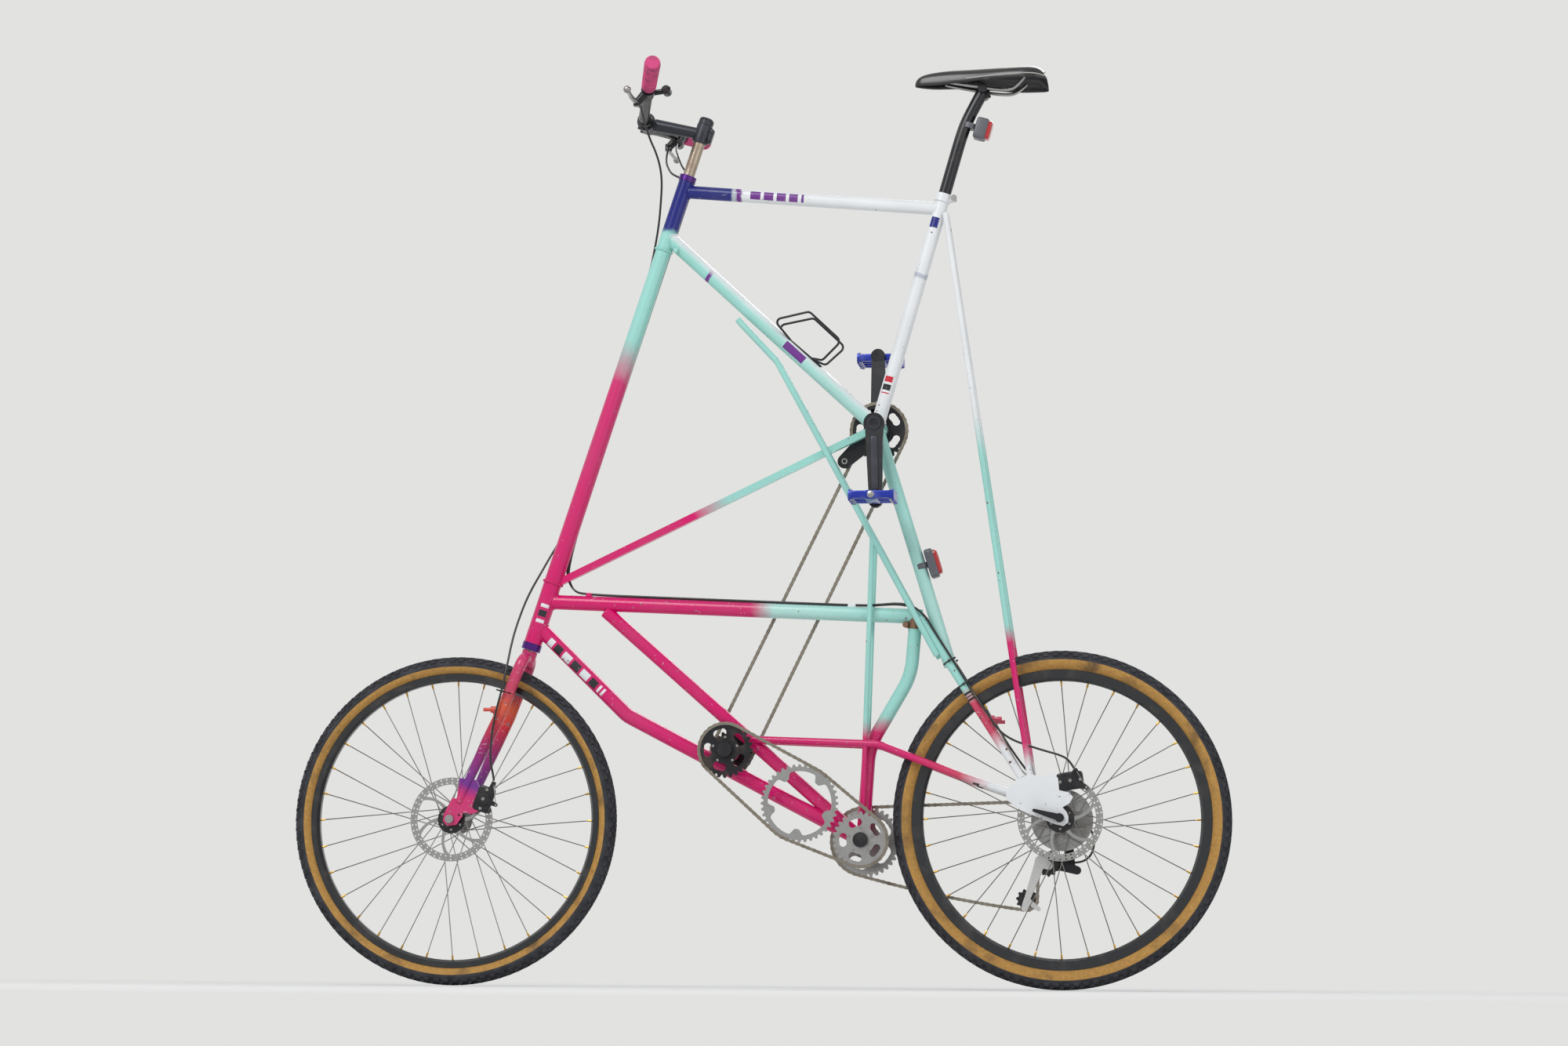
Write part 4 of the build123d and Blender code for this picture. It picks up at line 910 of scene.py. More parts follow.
@dataclass
class BrakeDisc:
    """Perforated brake disc on swirling arms, with its bolted carrier.

    Attributes:
        label: front or rear.
        centre: Place of the axle.
        y: Middle of the disc.
    """

    label: str
    centre: tuple[float, float]
    y: float

    OUTER_R = 90.0
    BAND = 15.0
    THICK = 1.8
    CELLS = 44
    HOLE_R = 1.9

    def band(self) -> Shape:
        """Two rings of cells: each joins eight points of its border to eight points of its round hole."""
        row_height = self.BAND / 2
        cell_angle = 2 * math.pi / self.CELLS
        around = np.array((-1, 0, 1, 1, 1, 0, -1, -1)) * 0.5
        outwards = np.array((-1, -1, -1, 0, 1, 1, 1, 0)) * 0.5
        turn = np.radians(-135.0 + 45.0 * np.arange(8))
        angle = cell_angle * np.arange(self.CELLS)[None, :, None]
        middle = self.OUTER_R - row_height * (0.5 + np.arange(2))[:, None, None]
        angles = np.stack((
            angle + cell_angle * around + 0 * middle, angle + self.HOLE_R * np.cos(turn) / middle,
        ), axis=2)
        radii = np.stack((
            middle + row_height * outwards + 0 * angle, middle + self.HOLE_R * np.sin(turn) + 0 * angle,
        ), axis=2)
        sides = np.array((-1, 1)) * 0.5 * self.THICK + self.y
        flat = np.stack((radii * np.cos(angles), radii * np.sin(angles)), axis=-1)
        points = np.stack([
            np.stack((flat[..., 0], np.full(flat.shape[:-1], y), flat[..., 1]), axis=-1) for y in sides
        ], axis=2)
        vertices = spot(*self.centre) + points.reshape(-1, 3) * MM
        here = np.arange(8)
        after = (here + 1) % 8
        cell = [np.stack((here + level, after + level, after + level + 8, here + level + 8), axis=1)
                for level in (0, 16)]
        cell.append(np.stack((here + 8, after + 8, after + 24, here + 24), axis=1))
        faces = (
            np.vstack(cell)[None] + 32 * np.arange(2 * self.CELLS)[:, None, None]
        ).reshape(-1, 4).tolist()
        for row, edge in ((0, (4, 5, 6)), (1, (0, 1, 2))):
            for first, second in zip(edge, edge[1:]):
                start = 32 * (row * self.CELLS + np.arange(self.CELLS))[:, None]
                faces.extend((start + np.array((first, second, second + 16, first + 16))).tolist())
        return Shape(vertices, faces)

    def arm(self, first: float) -> Shape:
        """One arm, whose middle line turns by 24 degrees on its way out to the band.

        Args:
            first: Angle of its root, in radians.

        Returns:
            The arm.
        """
        share = np.linspace(0.0, 1.0, 10)
        radius = 24.0 + share * (self.OUTER_R - self.BAND - 22.5)
        angle = first + math.radians(24.0) * share ** 1.4
        half = 3.2 + 2.2 * (2 * share - 1) ** 2
        corners = []
        for side, level in ((-1, -1), (1, -1), (1, 1), (-1, 1)):
            swing = angle + side * half / radius
            corners.append(np.stack((
                radius * np.cos(swing), self.y + 0 * share + 0.45 * level * self.THICK,
                radius * np.sin(swing),
            ), axis=-1))
        shape = grid(spot(*self.centre) + np.stack(corners, axis=1) * MM, False, True)
        shape.faces.extend([[0, 1, 2, 3], [36, 37, 38, 39]])
        return shape

    def build(self, steel: bpy.types.Material, dark: bpy.types.Material) -> None:
        """Makes the disc, its carrier and bolts, and hides the plain rotor.

        Args:
            steel: Finish of bright metal.
            dark: Finish of dark metal.
        """
        made = self.band()
        for index in range(6):
            made = made + self.arm(math.pi * index / 3)
        disc_piece = made.piece(self.label + "_brake_disc", steel, self.label + "_wheel")
        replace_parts(disc_piece, self.label + "_rotor")
        y_low, y_high = self.y - 1.6, self.y + 1.3
        profile = np.array(((y_low, 11.2), (y_low, 29.0), (y_low + 0.8, 30.0), (y_high, 30.0),
                            (y_high, 11.2)))
        turned(profile, self.centre, 60).piece(self.label + "_disc_carrier", dark, self.label + "_wheel")
        angle = np.radians(30.0 + 60.0 * np.arange(6))
        places = [(self.centre[0] + 22.0 * math.cos(a), self.centre[1] + 22.0 * math.sin(a)) for a in angle]
        bolts(places, y_low, 0.8).piece(self.label + "_disc_bolts", steel, self.label + "_wheel")


@dataclass
class Nipples:
    """Brass nipples that hold the spokes in the rim.

    Attributes:
        label: front or rear.
        centre: Place of the axle.
        rim_inner: Inner radius of the rim.
        flanges: Distances of the hub's flanges.
    """

    label: str
    centre: tuple[float, float]
    rim_inner: float
    flanges: tuple[float, float]

    SPOKES = 32

    def build(self, brass: bpy.types.Material) -> None:
        """Makes one turned nipple along each spoke.

        Args:
            brass: Finish of the nipples.
        """
        index = np.arange(self.SPOKES)
        lead = np.where((index // 2) % 2 == 1, 1.0, -1.0)
        rim_angle = 2 * math.pi * index / self.SPOKES
        hub_angle = rim_angle + lead * math.radians(67.5)
        y = np.take(self.flanges, index % 2) + lead * 1.94
        at_rim = wheel_frames(self.centre, rim_angle, self.rim_inner + 1.0, 0.0)[0]
        at_hub = wheel_frames(self.centre, hub_angle, 26.0, y)[0]
        inwards = unit(at_hub - at_rim)
        across = unit(np.cross(inwards, np.array((0.0, 1.0, 0.0))))
        profile = [(0.0, 0.0), (2.1, 0.0), (2.1, 8.5), (1.5, 11.0), (1.15, 12.5), (0.0, 12.5)]
        shape = lathe(profile, 8).copies(at_rim, across, np.cross(inwards, across), inwards)
        shape.piece(self.label + "_nipples", brass, self.label + "_wheel")


def pitch_radius(teeth: int) -> float:
    """Radius of the circle on which the chain's pins lie."""
    return CHAIN_PITCH / (2 * math.sin(math.pi / teeth))


@dataclass
class LinkChain:
    """Roller chain of inner and outer links round its sprockets.

    Attributes:
        name: Name of the node that it stands for.
        circles: x, height, radius and sense (1, or -1 where the chain passes inside) of each wheel.
        y: Middle of the chain.
        sag: How far the middle of its longest run hangs down.
    """

    name: str
    circles: tuple
    y: float
    sag: float = 0.0

    def tangent(self, first: tuple, second: tuple) -> tuple:
        """Points where the chain leaves one circle and meets the next.

        Args:
            first: Place, radius and sense of the circle that it leaves.
            second: The same of the circle that it meets.

        Returns:
            Both places.
        """
        dx, dz = second[0] - first[0], second[1] - first[1]
        length = math.hypot(dx, dz)
        share = (first[2] * first[3] - second[2] * second[3]) / length
        rise = math.sqrt(1 - share * share)
        nx = dx / length * share - dz / length * rise
        nz = dz / length * share + dx / length * rise
        return (
            (first[0] + first[3] * first[2] * nx, first[1] + first[3] * first[2] * nz),
            (second[0] + second[3] * second[2] * nx, second[1] + second[3] * second[2] * nz),
        )

    def line(self) -> np.ndarray:
        """Places along the whole loop: runs with a parabola of sag, and arcs round the circles."""
        count = len(self.circles)
        runs = [self.tangent(self.circles[index], self.circles[(index + 1) % count])
                for index in range(count)]
        longest = max(math.dist(*run) for run in runs)
        places = []
        for index, (leave, meet) in enumerate(runs):
            share = np.linspace(0.0, 1.0, 60)[:, None]
            run = np.array(leave) + share * (np.array(meet) - np.array(leave))
            below = self.sag * 4 * share[:, 0] * (1 - share[:, 0]) * (math.dist(leave, meet) / longest) ** 2
            if leave[0] > meet[0]:
                run[:, 1] -= below
            places.append(run)
            x, z, radius, sign = self.circles[(index + 1) % count]
            start = math.atan2(meet[1] - z, meet[0] - x)
            following = runs[(index + 1) % count][0]
            end = math.atan2(following[1] - z, following[0] - x)
            turn = (start - end) * sign % (2 * math.pi)
            angle = start - sign * turn * np.linspace(0.02, 0.98, 40)
            places.append(np.stack((x + radius * np.cos(angle), z + radius * np.sin(angle)), axis=1))
        return np.vstack(places)

    def joints(self) -> np.ndarray:
        """Pins at equal steps along the loop, an even count of them, in metres."""
        line = self.line()
        steps = np.linalg.norm(np.roll(line, -1, axis=0) - line, axis=1)
        along = np.concatenate(((0.0,), np.cumsum(steps)))
        count = 2 * round(along[-1] / CHAIN_PITCH / 2)
        wanted = np.arange(count) * along[-1] / count
        closed = np.vstack((line, line[:1]))
        x, z = np.interp(wanted, along, closed[:, 0]), np.interp(wanted, along, closed[:, 1])
        return (np.stack((x - SEAT_X, 0 * x + self.y, z - SEAT_HEIGHT), axis=1)) * MM

    def side_plate(self, low: float, high: float, waist: float) -> Shape:
        """Plate of a link, as two round ends and a narrow waist, between two distances to the side.

        Args:
            low: Y of its one side, in millimetres.
            high: Y of its other side.
            waist: Half its height in the middle.

        Returns:
            The plate.
        """
        end = np.radians(np.array((-66.0, -24.0, 24.0, 66.0)))
        x = np.concatenate((6.35 + 4.1 * np.cos(end), (0.0,), -6.35 - 4.1 * np.cos(end), (0.0,)))
        z = np.concatenate((4.1 * np.sin(end), (waist,), -4.1 * np.sin(end), (-waist,)))
        count = len(x)
        levels = [np.stack((x, np.full(count, y), z), axis=1) * MM for y in (low, high)]
        shape = grid(np.stack(levels), False, True)
        shape.faces.append(list(range(count)))
        shape.faces.append([count + index for index in range(count)])
        return shape

    def stub(self, x: float, half: float, radius: float) -> Shape:
        """Eight-sided pin or roller across a link.

        Args:
            x: Its place along the link, in millimetres.
            half: Half its length.
            radius: Its radius.

        Returns:
            The pin or roller.
        """
        angle = np.linspace(0.0, 2 * math.pi, 8, endpoint=False)
        levels = [
            np.stack((x + radius * np.cos(angle), np.full(8, y), radius * np.sin(angle)), axis=1) * MM
            for y in (-half, half)
        ]
        shape = grid(np.stack(levels), False, True)
        shape.faces.append(list(range(8)))
        shape.faces.append([8 + index for index in range(8)])
        return shape

    def build(self, finish: bpy.types.Material) -> None:
        """Makes the chain and hides the plain one.

        Args:
            finish: Finish of the piece.
        """
        pins = self.joints()
        onwards = np.roll(pins, -1, axis=0) - pins
        middle = pins + 0.5 * onwards
        along = unit(onwards)
        aside = np.broadcast_to(np.array((0.0, 1.0, 0.0)), along.shape)
        upright = np.cross(along, aside)
        outer = self.side_plate(2.1, 2.8, 2.9) + self.side_plate(-2.8, -2.1, 2.9)
        outer = outer + self.stub(-6.35, 3.2, 1.7) + self.stub(6.35, 3.2, 1.7)
        inner = self.side_plate(1.4, 2.0, 3.1) + self.side_plate(-2.0, -1.4, 3.1)
        inner = inner + self.stub(-6.35, 1.4, 3.9) + self.stub(6.35, 1.4, 3.9)
        made = None
        for start, link in ((0, outer), (1, inner)):
            row = slice(start, None, 2)
            part = link.copies(middle[row], along[row], aside[row], upright[row])
            made = part if made is None else made + part
        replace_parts(made.piece(self.name + "_links", finish, "frame"), self.name)


@dataclass
class Saddle:
    """Saddle on bent rails and a bent post, with a pale dashed trim at the rear."""

    SECTIONS = (  # x, half width, height of the top, depth of the sides
        (-315.0, 3.0, 1962.0, 8.0), (-311.0, 10.0, 1970.0, 16.0), (-300.0, 15.0, 1979.0, 26.0),
        (-270.0, 20.0, 1984.5, 34.0), (-235.0, 26.0, 1987.0, 34.0), (-200.0, 35.0, 1986.5, 33.0),
        (-160.0, 49.0, 1986.0, 32.0), (-120.0, 64.0, 1985.5, 33.0), (-85.0, 71.0, 1986.0, 34.0),
        (-60.0, 72.0, 1986.5, 34.0), (-40.0, 67.0, 1983.0, 32.0), (-30.0, 60.0, 1972.0, 22.0),
        (-26.0, 55.0, 1962.0, 12.0),
    )
    WALL = 4.5
    RAIL = ((-250.0, 1961.0, 17.0), (-236.0, 1957.5, 17.5), (-196.0, 1949.3, 21.0), (-108.0, 1933.0, 21.0),
            (-84.0, 1950.0, 30.0), (-74.0, 1962.0, 35.0))
    POST = ((-281.7, 1602.0), (-230.0, 1785.0), (-207.5, 1862.0), (-186.0, 1905.0), (-169.0, 1936.0))
    CLAMP = (-166.0, 1943.0)

    def arch(self, turn: np.ndarray, shrink: float) -> np.ndarray:
        """Arches across the saddle at every section.

        Across, y is the half width times the sine of the turn raised to 0.75.
        Upwards, it is the top less the depth times one less the cosine raised to 0.62.

        Args:
            turn: Turns from the middle of the top, from -90 to 90 degrees, in radians.
            shrink: How far the arch lies inside the outer one, in millimetres.

        Returns:
            Sections by turns by three coordinates.
        """
        rows = np.array(self.SECTIONS)
        x, half, top, depth = (column_[:, None] for column_ in rows.T)
        half = np.maximum(half - shrink, 0.5)
        across = np.sign(np.sin(turn)) * np.abs(np.sin(turn)) ** 0.75 * half
        up = top - shrink - (depth - shrink) * (1 - np.abs(np.cos(turn)) ** 0.62)
        place_x = x + 0 * across
        return np.stack((place_x - SEAT_X, across, up - SEAT_HEIGHT), axis=-1) * MM

    def cover(self) -> Shape:
        """Outer and inner arch as one closed skin, with its ends sewn shut."""
        turn = np.radians(np.linspace(-90.0, 90.0, 21))[None, :]
        outer, inner = self.arch(turn, 0.0), self.arch(turn, self.WALL)
        shape = grid(np.concatenate((outer, inner[:, ::-1]), axis=1), False, True)
        count = 42
        for first in (0, (len(self.SECTIONS) - 1) * count):
            for index in range(20):
                shape.faces.append([first + index, first + index + 1, first + 40 - index,
                                    first + 41 - index])
        return shape

    def leather(self) -> bpy.types.Material:
        """Black cover with a fine grain, scuffed pale at its edges."""
        graph = Graph("saddle_cover", roughness=0.34, coat=0.25)
        scuff = graph.step(graph.noise(45.0, 6.0), 0.60, 0.78)
        graph.colour(graph.mix(graph.math("MULTIPLY", scuff, 0.5), srgb(20, 20, 24), srgb(82, 82, 88)))
        graph.rough(scuff, 0.32, 0.6)
        graph.bump(graph.noise(700.0, 2.0), 0.2, 0.0003)
        return graph.material

    def build(self, steel: bpy.types.Material, dark: bpy.types.Material, pale: bpy.types.Material) -> None:
        """Makes the cover, trim, rails and post.

        Args:
            steel: Finish of bright metal.
            dark: Finish of dark metal.
            pale: Finish of the pale edge.
        """
        cover = self.cover().piece("saddle_cover", self.leather(), "frame", 50.0)
        subdivision = cover.modifiers.new("rounding", "SUBSURF")
        subdivision.levels = subdivision.render_levels = 2
        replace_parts(cover, "saddle")
        edge = self.arch(np.radians(np.array(((-84.0, 84.0),))), -0.4)
        left, right = edge[5:, 0], edge[5:, 1]
        tail = self.arch(np.radians(np.linspace(-80.0, 80.0, 15))[None, :], -0.4)[-2]
        tube(smooth(np.vstack((left[:-1], tail, right[::-1][1:])), 4), 0.0011, 6).piece(
            "saddle_trim", pale, "frame")
        rails = None
        for side in (-1, 1):
            path = smooth(np.array([spot(x, height, side * y) for x, height, y in self.RAIL]))
            rails = tube(path, 0.0035, 12) if rails is None else rails + tube(path, 0.0035, 12)
        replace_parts(rails.piece("bent_rails", steel, "frame"), "saddle_rails")
        post = tube(smooth(np.array([spot(*place) for place in self.POST])), 0.0136, 32)
        yoke = disc(self.CLAMP, -25.0, 25.0, 10.5) + disc((-166.0, 1935.0), -9.0, 9.0, 15.0)
        bolt = (rod(spot(-152.0, 1926.0), spot(-158.0, 1940.0), 3.6)
                + rod(spot(-188.0, 1922.0), spot(-176.0, 1940.0), 3.6))
        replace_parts((post + yoke + bolt).piece("bent_post", dark, "frame"), "seat_post")


@dataclass
class Cockpit:
    """Stem, ribbed grips, brake levers and gear pods on the bar."""

    BAR_CENTRE = (-907.0, 1887.0)
    BAR_END = (-836.0, 1929.0)
    BAR_HALF = 352.0
    BEND_Y = 52.0
    GRIP = 130.0

    def along(self, side: int, from_end: float) -> np.ndarray:
        """Point on the bar's axis, measured in from its end in millimetres.

        Args:
            side: 1 for the right end and -1 for the left.
            from_end: Distance from the end, in millimetres.

        Returns:
            The point in metres.
        """
        end = spot(*self.BAR_END, side * self.BAR_HALF)
        bend = spot(*self.BAR_CENTRE, side * self.BEND_Y)
        return end + unit(bend - end) * from_end * MM

    def grip(self, side: int) -> Shape:
        """Grip whose radius falls from its end, with nine ribs as a rounded square wave of the length.

        Args:
            side: 1 for the right grip and -1 for the left.

        Returns:
            The grip.
        """
        step = np.linspace(-4.0, self.GRIP, 136)
        end, root = self.along(side, -4.0), self.along(side, self.GRIP)
        path = end + (step[:, None] + 4.0) / (self.GRIP + 4.0) * (root - end)
        wave = 0.5 + 0.5 * np.tanh(5.0 * np.sin(2 * math.pi * step / (self.GRIP / 9)))
        radius = 17.6 - 1.6 * step / self.GRIP - 2.2 * wave
        radius = np.where(step < 0, 16.6 + 0.5 * step, radius)
        across = unit(np.cross(root - end, np.array((0.0, 0.0, 1.0))))
        upright = unit(np.cross(across, root - end))
        angle = np.linspace(0.0, 2 * math.pi, 28, endpoint=False)
        ring = across * np.cos(angle)[:, None] + upright * np.sin(angle)[:, None]
        shape = grid(path[:, None] + (radius * MM)[:, None, None] * ring, False, True)
        shape.faces.append(list(range(28)))
        shape.faces.append([135 * 28 + index for index in range(28)])
        return shape

    def rubber(self) -> bpy.types.Material:
        """Pink rubber, grey with grime on the ribs."""
        graph = Graph("grip_rubber", roughness=0.58)
        grime = graph.step(graph.noise(60.0, 5.0), 0.42, 0.72)
        graph.colour(graph.mix(graph.math("MULTIPLY", grime, 0.55), srgb(206, 62, 122), srgb(96, 62, 78)))
        graph.bump(graph.noise(420.0), 0.25, 0.0004)
        return graph.material

    def lever(self, side: int) -> tuple[Shape, Shape]:
        """Lever blade with a ball end, and its clamp, pivot and barrel.

        Args:
            side: -1 for the left, 1 for the right.

        Returns:
            The blade and the dark castings.
        """
        clamp = rod(self.along(side, self.GRIP + 14.0), self.along(side, self.GRIP + 32.0), 15.5)
        middle = self.along(side, self.GRIP + 23.0)
        pivot = middle + np.array((-24.0, 0.0, -26.0)) * MM
        tip = self.along(side, 33.0) + np.array((-52.0, 0.0, -43.0)) * MM
        elbow = pivot + np.array((-6.0, side * 30.0, 2.0)) * MM
        path = smooth(np.array((pivot, elbow, 0.5 * (elbow + tip), tip)), 12)
        share = np.linspace(0.0, 1.0, len(path))
        blade = tube(path, (5.6 - 1.6 * share) * MM, 12) + lump(tip, UPRIGHT, (8.2, 8.2, 8.2), 1.0, 12)
        castings = clamp + rod(middle, pivot, 10.5, 8.5)
        castings = castings + rod(pivot - (0, 0, 0.008), pivot + (0, 0, 0.008), 8.0)
        castings = castings + rod(pivot, pivot + np.array((4.0, -side * 26.0, -3.0)) * MM, 6.5, 4.0)
        return blade, castings

    def stem(self) -> Shape:
        """Clamp on the steerer, tapered arm, bar clamp with its four bolts, spacer and cap."""
        low, high = spot(*column(1840.0)), spot(*column(1880.0))
        up = unit(high - low)
        ahead = np.array((-up[2], 0.0, up[0]))
        root = 0.5 * (low + high)
        bar = spot(*self.BAR_CENTRE)
        made = rod(low, high, 17.6, sides=36) + rod(root, bar, 12.2, 14.2, 28)
        made = made + disc(self.BAR_CENTRE, -22.5, 22.5, 20.2, 40)
        made = made + lump(root - ahead * 0.0185, np.array((ahead, (0, 1, 0), up)), (6.0, 8.0, 16.5), 0.3)
        for rise in (-9.0, 9.0):
            bolt = root - ahead * 0.0200 + up * rise * MM
            made = made + rod(bolt - (0, 0.011, 0), bolt + (0, 0.011, 0), 3.4)
            for y in (-16.0, 16.0):
                face = bar + np.array((0.0, y * MM, 0.0)) + up * (1.9 * rise) * MM
                made = made + rod(face - ahead * 0.004, face + ahead * 0.0145, 3.3, sides=12)
        top = spot(*column(1890.0))
        return made + rod(high, top, 16.6, sides=36) + rod(top, top + up * 0.005, 17.0, 14.0, 36)

    def pod(self, side: int, shift: tuple) -> Shape:
        """Gear pod beside the lever: clamp, round body and thumb lever.

        Args:
            side: 1 for the right pod and -1 for the left.
            shift: From the bar to its middle, in millimetres.

        Returns:
            The pod.
        """
        root = self.along(side, self.GRIP + 41.0)
        middle = root + np.array(shift) * MM
        half = np.array((0.0, 0.012, 0.0))
        made = rod(self.along(side, self.GRIP + 35.0), self.along(side, self.GRIP + 47.0), 14.4)
        made = made + rod(middle - half, middle + half, 10.0) + rod(root, middle, 6.0)
        thumb = middle + np.array((8.0, side * 13.0, 4.0)) * MM
        return made + rod(middle, thumb, 3.6, 3.0)

    def build(self, dark: bpy.types.Material, steel: bpy.types.Material, satin: bpy.types.Material) -> None:
        """Makes everything on the bar and hides the plain stem, grips and levers.

        Args:
            dark: Finish of dark metal.
            steel: Finish of bright metal.
            satin: Finish of satin metal.
        """
        grips = (self.grip(-1) + self.grip(1)).piece("ribbed_grips", self.rubber(), "steering", 30.0)
        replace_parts(grips, "grips")
        (left, left_casting), (right, right_casting) = self.lever(-1), self.lever(1)
        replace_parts((left + right).piece("lever_blades", steel, "steering"), "brake_levers")
        (left_casting + right_casting).piece("lever_castings", dark, "steering")
        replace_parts(self.stem().piece("clamped_stem", satin, "steering"), "stem")
        pods = self.pod(-1, (42.0, -4.0, 4.0)) + self.pod(1, (8.0, -8.0, -22.0))
        pods.piece("gear_pods", dark, "steering")


@dataclass
class Cable:
    """Cable in its black cover, held by the frame or the fork along its route.

    Attributes:
        name: Name of the piece.
        body: The body that carries it.
        route: Points of its smooth line, in metres.
        radius: Radius of its cover, in millimetres.
    """

    name: str
    body: str
    route: list
    radius: float = 2.4

    def build(self, finish: bpy.types.Material) -> None:
        """Makes the cable as one smooth spline with the route's points as its control points.

        Args:
            finish: Finish of the piece.
        """
        data = bpy.data.curves.new(self.name, "CURVE")
        data.dimensions = "3D"
        spline = data.splines.new("NURBS")
        spline.points.add(len(self.route) - 1)
        for point, place in zip(spline.points, self.route):
            point.co = (*place, 1.0)
        spline.order_u = 3
        spline.use_endpoint_u = True
        data.bevel_depth = self.radius * MM
        data.bevel_resolution = 3
        data.resolution_u = 8
        data.use_fill_caps = True
        data.materials.append(finish)
        thing = bpy.data.objects.new(self.name, data)
        bpy.context.scene.collection.objects.link(thing)
        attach(thing, self.body)
        LOG.info("%s: %d points on %s", self.name, len(self.route), self.body)


def beside_column(height: float, turn: float, distance: float = 22.6) -> np.ndarray:
    """Point beside the column at a height, turned to the right from straight ahead, in degrees.

    Args:
        height: Height above the ground, in millimetres.
        turn: Turn to the right from straight ahead, in degrees.
        distance: Distance from the axis, in millimetres.

    Returns:
        The point in metres.
    """
    up = unit(spot(*column(1000.0)) - spot(*column(0.0)))
    ahead = np.array((-up[2], 0.0, up[0]))
    angle = math.radians(turn)
    return (spot(*column(height)) + (ahead * math.cos(angle)
                                     + np.array((0.0, math.sin(angle), 0.0))) * distance * MM)


def over_top_tube(back: float, y: float) -> np.ndarray:
    """Point over the lower top tube, a distance back from the column.

    Args:
        back: Distance back from the column, in millimetres.
        y: Distance to the right.

    Returns:
        The point in metres.
    """
    start, end = spot(*column(828.0)), spot(-312.0, 791.0)
    along = unit(end - start)
    return (start + along * back * MM + np.array((-along[2], 0.0, along[0])) * 18.8 * MM
            + np.array((0.0, y, 0.0)) * MM)


def under_seat_stay(side: int, height: float, out: float = 11.2) -> np.ndarray:
    """Point behind a seat stay at a height.

    Args:
        side: 1 for the right stay and -1 for the left.
        height: Height above the ground, in millimetres.
        out: Distance from the stay's axis.

    Returns:
        The point in metres.
    """
    share = (786.0 - height) / (786.0 - 442.0)
    axis = unit(spot(-80.0, 442.0) - spot(-300.0, 786.0))
    middle = spot(-300.0 + share * 220.0, height, side * (19.0 + share * 47.5))
    return middle + np.array((-axis[2], 0.0, axis[0])) * out * MM


